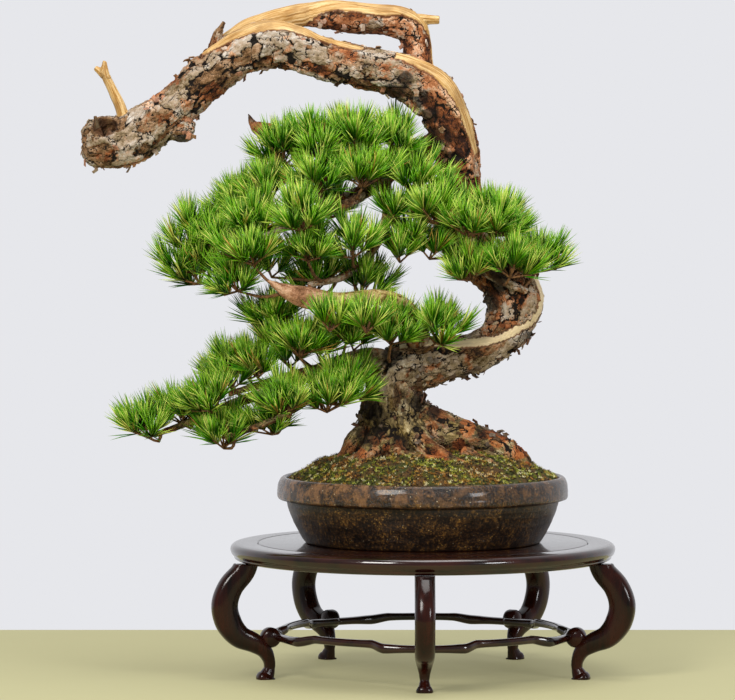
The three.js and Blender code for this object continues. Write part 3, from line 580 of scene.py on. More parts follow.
class Wire:
    """An output socket that Python arithmetic works on, each operation adding a Math node."""

    def __init__(self, graph: "Graph", socket: Any) -> None:
        """Wraps a socket of a graph."""
        self.graph = graph
        self.socket = socket

    __add__, __radd__ = arithmetic("ADD"), arithmetic("ADD", True)
    __sub__, __rsub__ = arithmetic("SUBTRACT"), arithmetic("SUBTRACT", True)
    __mul__, __rmul__ = arithmetic("MULTIPLY"), arithmetic("MULTIPLY", True)


class Graph:
    """A node tree that is written as expressions."""

    def __init__(self, tree: bpy.types.NodeTree) -> None:
        """Takes an empty node tree."""
        self.tree = tree

    def add(self, kind: str, settings: dict[str, Any] | None = None, inputs: dict[Any, Any] | None = None,
            output: str | int = 0) -> Wire:
        """Adds a node.

        Args:
            kind: The node's type.
            settings: Its properties, set first. "stops" fills a colour ramp with positions and colour codes.
            inputs: Wires, values or colour codes by socket name, identifier or number.
            output: The socket that is returned.

        Returns:
            The output as a wire.
        """
        node = self.tree.nodes.new(kind)
        for key, value in (settings or {}).items():
            if key == "stops":
                ramp = node.color_ramp.elements
                while len(ramp) < len(value):
                    ramp.new(0.5)
                for stop, (position, code) in zip(ramp, value):
                    stop.position = position
                    stop.color = (*linear(code), 1.0)
            else:
                setattr(node, key, value)
        for key, value in (inputs or {}).items():
            socket = socket_named(node.inputs, key)
            if isinstance(value, Wire):
                self.tree.links.new(value.socket, socket)
            elif socket.type == "RGBA":
                socket.default_value = (*(linear(value) if isinstance(value, int) else value), 1.0)
            else:
                socket.default_value = value
        return Wire(self, socket_named(node.outputs, output))

    def axis(self, vector: Wire, letter: str) -> Wire:
        """One coordinate of a vector."""
        return self.add("ShaderNodeSeparateXYZ", None, {"Vector": vector}, letter)

    def add_output(self, surface: Wire, kind: str = "ShaderNodeOutputMaterial") -> None:
        """Sends a surface, or a world's background, to the output."""
        node = self.tree.nodes.new(kind)
        self.tree.links.new(surface.socket, node.inputs["Surface"])


class Paint(Graph):
    """A material's shader, with the nodes that this object's finishes share."""

    def __init__(self, name: str) -> None:
        """Makes an empty material of that name."""
        self.material = bpy.data.materials.new(name)
        self.material.use_nodes = True
        self.material.node_tree.nodes.clear()
        super().__init__(self.material.node_tree)

    def place(self) -> Wire:
        """Object coordinates, in metres."""
        return self.add("ShaderNodeTexCoord", output="Object")

    def attribute(self, name: str, output: str = "Fac") -> Wire:
        """A value that the mesh keeps for each vertex."""
        return self.add("ShaderNodeAttribute", {"attribute_name": name}, output=output)

    def stretched(self, vector: Wire, scale: Triple) -> Wire:
        """A vector with each coordinate scaled."""
        return self.add("ShaderNodeVectorMath", {"operation": "MULTIPLY"}, {0: vector, 1: scale}, "Vector")

    def noise(self, vector: Wire, scale: float, detail: float = 4.0, rough: float = 0.6) -> Wire:
        """Noise from 0 to 1 with so many features a metre."""
        inputs = {"Vector": vector, "Scale": scale, "Detail": detail, "Roughness": rough}
        return self.add("ShaderNodeTexNoise", None, inputs, "Fac")

    def spots(self, vector: Wire, scale: float, output: str = "Distance", feature: str = "F1") -> Wire:
        """The distance to scattered points, or another output of the same pattern."""
        inputs = {"Vector": vector, "Scale": scale}
        return self.add("ShaderNodeTexVoronoi", {"feature": feature}, inputs, output)

    def specks(self, place: Wire, scale: float, size: Pair, share: Pair) -> Wire:
        """A mask of specks, by the distances where one starts and is full, for a share of their numbers."""
        near, chance = self.spots(place, scale), self.spots(place, scale, "Color")
        return self.rise(near, *size) * self.rise(chance, *share)

    def moved(self, vector: Wire, place: Wire, scale: float, reach: float) -> Wire:
        """A vector pushed about by noise, at most so far in metres."""
        push = self.add("ShaderNodeTexNoise", None, {"Vector": place, "Scale": scale, "Detail": 3.0}, "Color")
        inputs = {0: push, 1: (2 * reach,) * 3, 2: vector}
        return self.add("ShaderNodeVectorMath", {"operation": "MULTIPLY_ADD"}, inputs, "Vector")

    def rise(self, value: Wire, low: float, high: float) -> Wire:
        """A smooth rise from 0 to 1 between two values."""
        settings = {"interpolation_type": "SMOOTHSTEP"}
        inputs = {"Value": value, "From Min": low, "From Max": high}
        return self.add("ShaderNodeMapRange", settings, inputs, "Result")

    def mix(self, factor: Any, first: Any, second: Any) -> Wire:
        """A colour between two, by a factor from 0 to 1."""
        inputs = {"Factor_Float": factor, "A_Color": first, "B_Color": second}
        return self.add("ShaderNodeMix", {"data_type": "RGBA"}, inputs, "Result_Color")

    def ramp(self, value: Wire, *stops: tuple[float, int]) -> Wire:
        """A colour read from stops by a value."""
        return self.add("ShaderNodeValToRGB", {"stops": stops}, {"Fac": value}, "Color")

    def bump(self, height: Wire, distance: float, strength: float = 1.0) -> Wire:
        """A normal from a height field whose full range is the given distance."""
        inputs = {"Height": height, "Distance": distance, "Strength": strength}
        return self.add("ShaderNodeBump", None, inputs, "Normal")

    def finish(self, base: Any, roughness: Any, normal: Wire | None = None, **fixed: Any) -> Material:
        """Ends the shader.

        Args:
            base: The base colour.
            roughness: The roughness.
            normal: The normal, if anything bends it.
            fixed: Other sockets of the shader, with _ for a space.

        Returns:
            The material.
        """
        inputs: dict[str, Any] = {"Base Color": base, "Roughness": roughness}
        inputs.update({key.replace("_", " "): value for key, value in fixed.items()})
        if normal:
            inputs["Normal"] = normal
        surface = self.add("ShaderNodeBsdfPrincipled", None, inputs, "BSDF")
        self.add_output(surface)
        return self.material


# Finishes


@dataclass(frozen=True)
class WoodFinish:
    """Flaking pine bark, with pale weathered wood where the mesh says that the bark is gone."""

    black: int = 0x150D07
    brown: int = 0x57411F
    grey: int = 0x8A775A
    pink: int = 0xAE9880
    silver: int = 0xBAAC9C
    white: int = 0xE2DAD0
    rust: int = 0xB56E3C
    olive: int = 0x665624
    cream: int = 0xDDBC84
    tan: int = 0xB4843F
    # Where the tone changes on one limb: across or up, in metres, from the start of the change to its end.
    olive_side: Pair = (-0.06, -0.03)
    claw_foot: Pair = (0.714, 0.724)
    claw_top: Pair = (0.76, 0.75)
    claw_right: Pair = (-0.128, -0.132)
    claw_left: Pair = (-0.16, -0.155)
    pale_height: Pair = (0.6, 0.53)

    def material(self) -> Material:
        """The material of the trunk and limbs."""
        p = Paint("bark_and_dead_wood")
        place, grain = p.place(), p.attribute("grain", "Vector")
        names = ("plate", "crack", "high", "dead", "low", "rust")
        plate, crack, high, dead, low, rust = map(p.attribute, names)
        blotch = p.noise(p.moved(grain, place, 60.0, 0.008), 40.0, 7.0, 0.66)
        fine = p.noise(p.stretched(grain, (1.0, 1.0, 0.45)), 280.0, 6.0, 0.75)
        grit = p.noise(place, 640.0, 3.0, 0.8)
        fibre = p.noise(p.stretched(p.moved(grain, place, 50.0, 0.004), (1.0, 1.0, 0.22)), 150.0, 6.0, 0.7)
        chip = p.spots(p.stretched(p.moved(grain, place, 110.0, 0.009), (1.0, 1.0, 0.5)), 72.0, "Distance",
                       "DISTANCE_TO_EDGE")
        young = p.rise(rust, 0.84, 0.9) * (1 - low)
        value = (blotch - 0.5) * 1.5 + plate * 0.32 + high * 0.2
        value = value + (fine - 0.5) * 0.9 + (grit - 0.5) * 0.5 + 0.13
        value = value - p.rise(rust, 0.7, 0.8) * 0.1
        tone = p.ramp(value, (0.02, self.black), (0.14, self.brown), (0.3, self.grey), (0.46, self.pink),
                      (0.64, self.silver), (0.88, self.white))
        warm = p.ramp(value, (0.05, 0x2C1A0C), (0.3, 0x8A623E), (0.55, 0xC49E7C),
                      (0.85, 0xE4CDB4))
        tone = p.mix(p.rise(plate, 0.42, 0.36) * 0.75, tone, warm)
        red = p.rise(p.noise(place, 27.0, 7.0, 0.72) + rust * 0.3 - high * 0.1, 0.55, 0.63)
        tone = p.mix(red * 0.85, tone, p.ramp(value, (0.08, 0x2E140A), (0.25, 0x84441E),
                                              (0.48, self.rust), (0.72, 0xE2B48C)))
        streaks = p.noise(p.stretched(grain, (1.0, 1.0, 0.12)), 190.0, 5.0, 0.65)
        tone = p.mix(young * 0.85, tone, p.ramp(value * 0.5 + streaks * 0.6, (0.2, 0x6A4426),
                                                (0.44, 0xB58462), (0.66, 0xDDB898)))
        aside = p.axis(place, "X")
        height = p.axis(place, "Z")
        tone = p.mix(young * p.rise(aside, *self.olive_side) * 0.75, tone,
                     p.ramp(value, (0.08, 0x4A3410), (0.32, 0x94803C), (0.66, 0xCCBC7C)))
        claw = p.rise(height, *self.claw_foot) * p.rise(height, *self.claw_top)
        claw = claw * p.rise(aside, *self.claw_right) * p.rise(aside, *self.claw_left)
        tone = p.mix(claw * 0.9, tone, self.black)
        damp = p.ramp(value * 0.5 + fibre * 0.9 - 0.1, (0.33, 0x0B0703), (0.49, 0x35280C),
                      (0.58, self.olive), (0.69, 0xA48A50), (0.8, 0xD8C898))
        tone = p.mix(low * (1 - red * 0.7) * 0.9, tone, damp)
        glowing = p.rise(p.attribute("bright") + (blotch - 0.5) * 1.8 + (fine - 0.5) * 1.4, 0.45, 0.7)
        tone = p.mix(glowing * 0.85, tone, p.ramp(value, (0.1, 0x4A200E), (0.32, 0x8C4820),
                                                  (0.56, 0xB86A34), (0.84, 0xDCA878)))
        # Painted shade: near the dark spots the wood goes towards near black. This is partly dark bark and
        # partly shade under limbs and behind needles.
        shade = p.rise(p.attribute("dark") + (fine - 0.5) * 2.2 + (blotch - 0.5) * 2.6, 0.4, 0.9)
        tone = p.mix(shade * 0.85, tone, self.black)
        # Cracks and chip edges are painted near black: partly the fissures' own dark colour, partly painted
        # shade in them.
        chip_crack = p.rise(chip, 0.05, 0.012) * (0.3 + p.rise(blotch, 0.42, 0.52) * 0.7) * (1 - young * 0.55)
        tone = p.mix(p.rise(crack + chip_crack * 0.8 + (fine - 0.5) * 0.5, 0.48, 0.8), tone, self.black)
        streak = p.noise(p.stretched(grain, (1.0, 1.0, 0.05)), 420.0, 5.0, 0.65)
        bare = p.ramp(streak, (0.32, 0x5E3C1C), (0.44, self.tan), (0.58, self.cream), (0.8, 0xF0DDB0))
        bare = p.mix(p.rise(p.noise(place, 34.0), 0.5, 0.7) * 0.6, bare, 0x98703E)
        bare = p.mix(p.rise(height, *self.pale_height) * 0.55, bare, 0xFAEBC8)
        tone = p.mix(dead, tone, bare)
        edge = p.rise(dead, 0.02, 0.3) * p.rise(dead, 0.98, 0.6)
        tone = p.mix(edge * 0.7, tone, 0x6E3418)
        inside = p.ramp(blotch, (0.42, 0x1C0E06), (0.6, 0x5E3A1C), (0.74, 0xA8824E))
        tone = p.mix(p.attribute("hole") * 0.9, tone, inside)
        relief = (fine * 0.7 + grit * 0.25 + p.rise(chip, 0.0, 0.2) * 0.5) * (1 - dead) + streak * dead * 0.6
        return p.finish(tone, 0.9 - dead * 0.35, p.bump(relief, 0.0025), Specular_IOR_Level=0.3)


@dataclass(frozen=True)
class FlakeFinish:
    """Loose flakes of bark, each with its own tone, the low ones darkened as painted shade."""

    # Painted shade: flakes below this height, under the low limbs, go towards near black. The heights run
    # from where it starts to where it is full.
    flake_shade_height: Pair = (0.5, 0.45)

    def material(self) -> Material:
        """The material of the flakes."""
        p = Paint("loose_bark")
        tint, cloud = p.attribute("tint"), p.noise(p.place(), 160.0, 5.0, 0.7)
        tone = p.ramp(tint * 0.5 + cloud * 0.8, (0.3, 0x3A2414), (0.5, 0x86603E),
                      (0.68, 0xAE9A86), (0.9, 0xDCD0C2))
        tone = p.mix(p.rise(tint, 0.62, 0.7) * 0.8, tone, p.ramp(cloud, (0.35, 0x5E2C14), (0.65, 0xBC7038)))
        height = p.axis(p.place(), "Z")
        # Painted shade on the low flakes.
        tone = p.mix(p.rise(height, *self.flake_shade_height) * 0.65, tone, 0x1E140A)
        return p.finish(tone, 0.9, p.bump(cloud, 0.001), Specular_IOR_Level=0.3)


@dataclass(frozen=True)
class TwigFinish:
    """Young orange-brown bark of twigs and shoots."""

    dark: int = 0x3A2412
    light: int = 0x8E6236

    def material(self) -> Material:
        """The material of the twigs."""
        p = Paint("young_bark")
        speck = p.noise(p.place(), 260.0, 4.0)
        return p.finish(p.ramp(speck, (0.35, self.dark), (0.65, self.light)), 0.8, p.bump(speck, 0.001))


@dataclass(frozen=True)
class NeedleFinish:
    """Pine needles: darker at the root, yellow-green at the tip, with a few dry ones."""

    deep: int = 0x143A04
    bright: int = 0x409006
    tip: int = 0xA8CA34
    dry: int = 0xB08A3A

    def material(self) -> Material:
        """The material of the needles."""
        p = Paint("needles")
        along, tint = p.attribute("along"), p.attribute("tint")
        green = p.ramp(tint, (0.0, self.deep), (0.4, self.bright), (0.7, 0x7AB414), (0.93, 0xDAE070))
        green = p.mix(p.rise(along, 0.5, 1.0) * 0.4, green, self.tip)
        green = p.mix(p.rise(tint, 0.975, 0.985), green, self.dry)
        shade = p.mix(p.rise(along, 0.0, 0.25), 0x4A3C12, green)
        return p.finish(shade, 0.4, Specular_IOR_Level=0.3)


@dataclass(frozen=True)
class MossFinish:
    """Moss: yellow-green cushions with paler tips."""

    dark: int = 0x2A1E06
    pale: int = 0xF4ECBC

    def material(self) -> Material:
        """The material of the moss."""
        p = Paint("moss")
        tint, along, place = p.attribute("tint"), p.attribute("along"), p.place()
        cloud = p.noise(place, 90.0, 5.0, 0.7)
        value = p.attribute("cushion") * 0.5 + tint * 0.7 + (cloud - 0.5) * 1.2 - 0.06
        green = p.ramp(value, (0.1, 0x161A05), (0.32, 0x4A540A), (0.5, 0x808A14),
                       (0.7, 0xBCC040), (0.86, self.pale))
        earth = p.ramp(value, (0.1, 0x1C1006), (0.32, 0x60390C), (0.5, 0xA66C1A),
                       (0.7, 0xCC9A44), (0.86, self.pale))
        tone = p.mix(p.rise(p.noise(place, 42.0, 6.0, 0.7), 0.45, 0.56), green, earth)
        return p.finish(p.mix(p.rise(along, 0.0, 0.6), self.dark, tone), 0.9)


@dataclass(frozen=True)
class SoilFinish:
    """Damp grit and the felt of moss on it."""

    dark: int = 0x120C05
    brown: int = 0x6A4A1C
    green: int = 0x5A6018
    grit: int = 0xB8A888

    def material(self) -> Material:
        """The material of the soil's mound."""
        p = Paint("soil")
        place = p.place()
        grain, patch = p.noise(place, 420.0, 6.0, 0.7), p.noise(place, 28.0, 4.0)
        tone = p.ramp(grain, (0.34, self.dark), (0.6, self.brown))
        tone = p.mix(p.rise(patch, 0.42, 0.56), tone, p.mix(grain, self.dark, self.green))
        pebbles = p.rise(p.spots(place, 170.0), 0.22, 0.14)
        tone = p.mix(pebbles * p.rise(p.spots(place, 170.0, "Color"), 0.62, 0.7), tone, self.grit)
        return p.finish(tone, 0.95, p.bump(grain + pebbles, 0.003))


@dataclass(frozen=True)
class GlazeFinish:
    """A dark brown glaze that breaks to olive, with a glassy rim full of pale specks and a streaky paler veil
    that is the glaze's own and, stronger on the rim's left, a painted sheen.
    """

    body: int = 0x21130A
    olive: int = 0x4A3218
    gold: int = 0x94682C
    pale: int = 0x8E643C
    # Painted sheen: across the pot, in metres, from where the rim's veil starts to grow stronger to where it
    # is strongest, on the left.
    painted_sheen_side: Pair = (0.09, 0.03)

    def material(self, rim_height: float, band: float) -> Material:
        """The material of the pot.

        Args:
            rim_height: How high the rim stands over the floor.
            band: The height of the glassy band below the rim.

        Returns:
            The material.
        """
        p = Paint("pot_glaze")
        place = p.place()
        height = p.axis(place, "Z")
        cloud = p.noise(place, 38.0, 6.0, 0.65)
        fine = p.noise(place, 300.0, 5.0, 0.7)
        tone = p.ramp(cloud * 0.4 + fine * 0.75 - 0.05, (0.4, 0x060301), (0.52, self.body), (0.6, self.olive),
                      (0.72, self.gold))
        on_band = p.rise(height + (cloud - 0.5) * 0.006, rim_height - band - 0.001, rim_height - band + 0.003)
        streaks = p.noise(p.stretched(place, (1.0, 1.0, 0.8)), 70.0, 7.0, 0.74)
        specks = p.specks(place, 210.0, (0.2, 0.12), (0.66, 0.74))
        aside = p.axis(place, "X")
        # Painted sheen: the pale veil's streaks are the glaze's own, but their extra strength on the rim's
        # left stands in for a reflection.
        veil_and_painted_sheen = p.rise(streaks, 0.44, 0.62) * on_band * (p.rise(aside, *self.painted_sheen_side) * 0.4 + 0.35)
        tone = p.mix(veil_and_painted_sheen, tone, self.pale)
        flecks = p.specks(place, 330.0, (0.3, 0.16), (0.6, 0.7))
        tone = p.mix(flecks * p.rise(cloud, 0.44, 0.6) * (1 - on_band) * 0.9, tone, 0xB08840)
        tone = p.mix(specks * (0.3 + on_band * 0.4), tone, 0xD2C09C)
        rough = 0.36 - on_band * 0.2 + fine * 0.12
        bands = p.noise(p.stretched(place, (0.1, 0.1, 1.0)), 260.0, 3.0)
        relief = p.bump(cloud * 0.5 + fine * (on_band * 0.45 + 0.35) + bands * 0.2, 0.0022)
        return p.finish(tone, rough, relief, Specular_IOR_Level=0.35, Coat_Weight=on_band * 0.35 + 0.1,
                        Coat_Roughness=0.14, Coat_IOR=1.4)


@dataclass(frozen=True)
class LacquerFinish:
    """Polished dark rosewood under clear lacquer."""

    dark: int = 0x0B0402
    red: int = 0x321008

    def material(self, name: str, stretch: Triple, gloss: float) -> Material:
        """A rosewood whose grain runs along the least stretched coordinate.

        Args:
            name: The material's name.
            stretch: How much each coordinate is scaled.
            gloss: How strong the lacquer's shine is.

        Returns:
            The material.
        """
        p = Paint(name)
        place = p.place()
        figure = p.noise(p.stretched(place, stretch), 60.0, 6.0, 0.6)
        pores = p.noise(p.stretched(place, stretch), 420.0, 3.0, 0.6)
        tone = p.ramp(figure, (0.34, self.dark), (0.66, self.red))
        tone = p.mix(p.rise(pores, 0.6, 0.7) * 0.5, tone, 0x0C0504)
        rough = 0.12 + figure * 0.12
        relief = p.bump(pores, 0.0004, 0.4)
        return p.finish(tone, rough, relief, Specular_IOR_Level=0.25, Coat_Weight=gloss, Coat_Roughness=0.05)


@dataclass(frozen=True)
class PlainFinish:
    """A plain matt surface with a faint mottle."""

    name: str
    tone: int
    roughness: float = 0.8
    mottle: float = 0.04
    glow: float = 0.0

    def material(self) -> Material:
        """The material."""
        p = Paint(self.name)
        cloud = p.noise(p.place(), 9.0, 3.0)
        tone = linear(self.tone)
        darker = tuple(c * (1 - self.mottle) for c in tone)
        glow = {"Emission_Color": tone, "Emission_Strength": self.glow} if self.glow else {}
        return p.finish(p.mix(cloud, darker, tone), self.roughness, **glow)


# The tree


class Bark(Enum):
    """The kinds of limb: the bark's depth in metres, 1 if the bark is gone, and how rusty it is."""

    OLD = (0.0042, 0.0, 0.3)
    SECOND = (0.0026, 0.0, 0.75)
    LIMB = (0.0018, 0.0, 0.4)
    YOUNG = (0.0013, 0.0, 0.95)
    ROOT = (0.0030, 0.0, 0.5)
    DEAD = (0.0, 1.0, 0.0)

    def __init__(self, depth: float, bare: float, rust: float) -> None:
        """Names the three numbers of a kind."""
        self.depth = depth
        self.bare = bare
        self.rust = rust


@dataclass(frozen=True)
class Band:
    """A strip where the bark is gone.

    Its stops give a place along the limb, the way that the strip faces there and half its width in metres.
    """

    stops: tuple[tuple[float, Triple, float], ...]
    lift: float = 0.002
    uneven: float = 0.2
    fade: float = 0.5

    def cover(self, places: Array, outward: Array, tangents: Array, radii: Array,
              wobble: Array) -> tuple[Array, Array]:
        """How far each point lies inside the strip, from 0 outside to 1 inside.

        Args:
            places: Each point's place along the limb, counted in stations.
            outward: The direction from the limb's middle to the point.
            tangents: The limb's direction there.
            radii: The limb's radius there.
            wobble: Noise that makes the edge uneven.

        Returns:
            The cover, and the distance from the strip's middle line, to either side.
        """
        at = np.array([stop[0] for stop in self.stops])
        facing = np.array([stop[1] for stop in self.stops], float)
        width = np.interp(places, at, [stop[2] for stop in self.stops])
        way = np.stack([np.interp(places, at, facing[:, k]) for k in range(3)], axis=1)
        middle = unit(way - tangents * np.sum(way * tangents, axis=1)[:, None])
        across = np.cross(tangents, middle)
        aside = np.arctan2(np.sum(outward * across, axis=1), np.sum(outward * middle, axis=1)) * radii
        inside = width * (1 + self.uneven * wobble) - np.abs(aside)
        span = smoothstep(at[0], at[0] + self.fade, places)
        span *= 1 - smoothstep(at[-1] - self.fade, at[-1], places)
        return smoothstep(-0.001, 0.001, inside) * (span > 0.02) * smoothstep(0, 0.25, span), aside


TRUNK_BANDS = (
    Band(((15.6, (0.9, -0.35, 0.15), 0.005), (17.0, (0.8, -0.55, 0.3), 0.011),
          (18.2, (0.55, -0.6, 0.65), 0.013), (19.6, (0.2, -0.55, 0.85), 0.008))),
    Band(((20.5, (0.0, -0.5, 0.88), 0.004), (22.0, (0.0, -0.45, 0.9), 0.007),
          (23.4, (0.0, -0.5, 0.88), 0.013), (24.4, (0.0, -0.5, 0.88), 0.0135),
          (25.3, (-0.2, -0.45, 0.87), 0.009), (26.5, (-0.5, -0.35, 0.8), 0.004))),
    Band(((4.2, (0.0, -0.45, 0.9), 0.004), (4.8, (0.0, -0.5, 0.87), 0.0065), (5.6, (0.0, -0.6, 0.8), 0.0075),
          (6.0, (0.0, -0.7, 0.71), 0.007), (7.0, (0.0, -0.95, 0.3), 0.006), (8.0, (0.5, -0.85, 0.0), 0.006),
          (8.6, (0.75, -0.62, 0.12), 0.007), (9.0, (0.92, -0.38, 0.1), 0.008),
          (9.9, (0.93, -0.3, 0.2), 0.008))),
)
SECOND_BANDS = (
    Band(((0.6, (0.95, -0.1, 0.1), 0.004), (2.2, (0.95, -0.1, 0.2), 0.005), (3.2, (0.5, -0.3, 0.8), 0.012),
          (4.2, (0.1, -0.3, 0.95), 0.018), (5.4, (0.0, -0.3, 0.95), 0.02), (6.8, (0.0, -0.15, 1.0), 0.018),
          (8.0, (0.0, -0.6, 0.8), 0.028), (11.0, (0.0, -0.6, 0.8), 0.04))),
)
# How rusty the old and the young bark is: places along the limb, and the rust there.
OLD_RUST = ((0, 3, 8, 10, 12, 17, 19.5, 33), (0.35, 0.2, 0.3, 0.55, 0.82, 0.82, 0.4, 0.3))
YOUNG_RUST = ((0, 1.2, 2.4, 7), (0.45, 0.6, 0.95, 0.95))


@dataclass
class Member:
    """One limb of the tree, with the stretch of it that belongs to each piece."""

    stations: Stations
    kind: Bark
    spans: dict[str, Pair]
    bands: tuple[Band, ...] = ()

    def __post_init__(self) -> None:
        """Reads the limb's line."""
        self.spine = Spine(self.stations)

    def rust(self, places: Array) -> Array:
        """How rusty the bark is at each place along the limb."""
        if self.kind is Bark.YOUNG:
            return np.interp(places, *YOUNG_RUST)
        if self.kind is Bark.OLD:
            return np.interp(places, *OLD_RUST)
        return np.full(len(places), self.kind.rust)


@dataclass
class Wood:
    """The trunk, its limbs and roots, covered with bark that flakes."""

    voxels: tuple[tuple[str, float], ...] = (("low", 0.0019), ("high", 0.0019), ("boughs", 0.0021))
    low_span: Pair = (0.0, 13.4)
    high_span: Pair = (12.4, 99.0)
    trunk_sides: int = 28
    limb_sides: int = 18
    swell: float = 0.04
    plate: Pair = (0.018, 0.046)
    furrow: Triple = (0.012, 0.012, 0.05)
    low_height: float = 0.40
    flake_density: float = 900.0
    flake_seed: int = 21
    flake_sizes: Pair = (0.55, 1.25)
    flake_lean: Pair = (0.1, 0.75)
    flake_outline: Stations = ((-0.1, 0.0), (0.3, 0.1), (0.22, 0.5), (0.44, 0.8), (-0.06, 1.0), (-0.4, 0.42))
    flake_length: float = 0.010
    flake_half: float = 0.0005
    flake_taper: float = 0.86
    flake_bends: Pair = (9.0, 14.0)
    flake_belly: float = 0.003

    def members(self) -> list[Member]:
        """Every thick limb."""
        made = [Member(TRUNK, Bark.OLD, {"low": self.low_span, "high": self.high_span}, TRUNK_BANDS),
                Member(SECOND_LIMB, Bark.SECOND, {"high": WHOLE}, SECOND_BANDS)]
        for name, stations in BOUGHS.items():
            kind = {"bare": Bark.YOUNG, "crown": Bark.SECOND}.get(name, Bark.LIMB)
            made.append(Member(stations, kind, {"boughs": WHOLE}))
        made.append(Member(BOUGH_STUB, Bark.LIMB, {"boughs": WHOLE}))
        made += [Member(stations, Bark.ROOT, {"low": WHOLE}) for stations in ROOTS]
        made += [Member(stations, Bark.DEAD, {"high": WHOLE}) for stations in DEAD_TWIGS]
        made += [Member(stations, Bark.OLD, {part: WHOLE})
                 for part, stations in zip(("high", "low", "high"), TRUNK_STUBS)]
        return made

    def body(self, part: str, members: list[Member], voxel: float) -> Mesh:
        """The limbs of one piece joined into a closed surface of even fine faces.

        Args:
            part: The piece's name in the limbs' spans.
            members: Every limb.
            voxel: The size of the faces.

        Returns:
            The surface.
        """
        tubes, trunk = Shell(), Shell()
        for n, member in enumerate(members):
            if part in member.spans:
                shell, sides = (tubes, self.limb_sides) if n else (trunk, self.trunk_sides)
                shell.skin(member.spine.rings(sides, self.swell, 1.7 * n, member.spans[part]))
        if part == "high":
            hollow = Shell()
            hollow.skin(Spine(HOLLOW).rings(14, 0.06))
            cutter = piece_from("hollow", hollow.mesh("hollow"))
            solid = piece_from("trunk_tube", trunk.mesh("trunk_tube"))
            cut = solid.modifiers.new("cut", "BOOLEAN")
            cut.operation = "DIFFERENCE"
            cut.object = cutter
            rest = evaluated_mesh(solid)
            bpy.data.objects.remove(cutter)
            tubes.add(values_of(rest, "co"), [tuple(face.vertices) for face in rest.polygons])
        elif trunk.count:
            tubes.add(np.vstack(trunk.points), trunk.faces)
        whole = piece_from("wood_work", tubes.mesh("wood_work"))
        remesh = whole.modifiers.new("remesh", "REMESH")
        remesh.mode = "VOXEL"
        remesh.voxel_size = voxel
        return evaluated_mesh(whole)

    def nearest(self, points: Array, members: list[Member]) -> tuple[Array, Array]:
        """For each point, the limb and the reading of its centre line whose surface is nearest.

        Args:
            points: The points.
            members: Every limb.

        Returns:
            Each point's limb, by number, and its reading on that limb.
        """
        centres = np.vstack([member.spine.points for member in members])
        radii = np.concatenate([member.spine.radii for member in members])
        owner = np.concatenate([np.full(len(member.spine.points), n) for n, member in enumerate(members)])
        reading = np.concatenate([np.arange(len(member.spine.points)) for member in members])
        best = np.empty(len(points), int)
        batch = 3000
        for start in range(0, len(points), batch):
            block = points[start:start + batch]
            squared = (block**2).sum(1)[:, None] + (centres**2).sum(1)[None, :] - 2 * block @ centres.T
            best[start:start + batch] = np.argmin(np.sqrt(np.maximum(squared, 0)) - radii, axis=1)
        return owner[best], reading[best]

    def near(self, points: Array, spots: Stations) -> Array:
        """How near each point lies to spots (across, up, reach) as seen from the front, from 0 to 1."""
        best = np.zeros(len(points))
        for x, z, reach in spots:
            gap = np.hypot(points[:, 0] - AXIS[0] - x * MM, points[:, 2] - z * MM) / (reach * MM)
            best = np.maximum(best, 1 - smoothstep(0.35, 1.0, gap))
        return best

    def carve(self, mesh: Mesh, members: list[Member]) -> None:
        """Raises plates of bark and ridges of dead wood, and keeps what the finish reads.

        Args:
            mesh: The piece's plain surface, which is changed.
            members: Every limb.
        """
        points, normals = values_of(mesh, "co"), values_of(mesh, "normal")
        owner, reading = self.nearest(points, members)
        grain = np.zeros_like(points)
        depth, dead, lift, rust, flaky, scale = (np.zeros(len(points)) for _ in range(6))
        wobble = noise(points / 0.012, 3)
        for n, member in enumerate(members):
            mine = np.flatnonzero(owner == n)
            if not len(mine):
                continue
            spine, row = member.spine, reading[mine]
            offset = points[mine] - spine.points[row]
            step = np.sum(offset * spine.tangents[row], axis=1)
            outward = unit(offset - spine.tangents[row] * step[:, None])
            round_limb = np.stack([np.sum(outward * spine.sides[row], axis=1),
                                   np.sum(outward * spine.ups[row], axis=1)], axis=1)
            grain[mine, :2] = round_limb * np.maximum(spine.radii[row], 0.004)[:, None]
            grain[mine, 2] = spine.along[row] + step + 3.1 * n
            depth[mine] = member.kind.depth * np.clip(spine.radii[row] / 0.026, 0.25, 1.15)
            dead[mine] = member.kind.bare
            rust[mine] = member.rust(spine.places[row])
            flaky[mine] = smoothstep(0.011, 0.019, spine.radii[row])
            scale[mine] = np.clip(spine.radii.max() / 0.03, 0.4, 1.0)
            for band in member.bands:
                cover, aside = band.cover(
                    spine.places[row], outward, spine.tangents[row], spine.radii[row], wobble[mine])
                dead[mine] = np.maximum(dead[mine], cover)
                grain[mine, 0] = np.where(cover > 0.02, aside, grain[mine, 0])
                grain[mine, 1] = np.where(cover > 0.02, 0.0, grain[mine, 1])
                lift[mine] += band.lift * cover
        ragged = 0.005 * np.stack([noise(points / 0.022, 11 + k) for k in range(3)], axis=1)
        ragged += 0.0022 * np.stack([noise(points / 0.006, 31 + k, 2) for k in range(3)], axis=1)
        size = np.array([self.plate[0], self.plate[0], self.plate[1]])
        warped = (grain + ragged) / size / scale[:, None]
        edge, plate, slope = cells(warped, 41)
        small_edge, small, small_slope = cells(warped * 2.1, 67)
        split = smoothstep(-0.5, 0.2, noise(points / 0.03, 51, 2))
        crack = (1 - smoothstep(0.02, 0.11, edge)) * (0.5 + 0.5 * split)
        small_crack = (1 - smoothstep(0.02, 0.14, small_edge)) * (1 - 0.75 * split)
        low = 1 - smoothstep(self.low_height - 0.09, self.low_height + 0.05, points[:, 2])
        furrow = np.abs(noise((grain + ragged) / np.array(self.furrow), 61, 2))
        crack = np.maximum(crack * (1 - 0.6 * low), low * (1 - smoothstep(0.02, 0.2, furrow)))
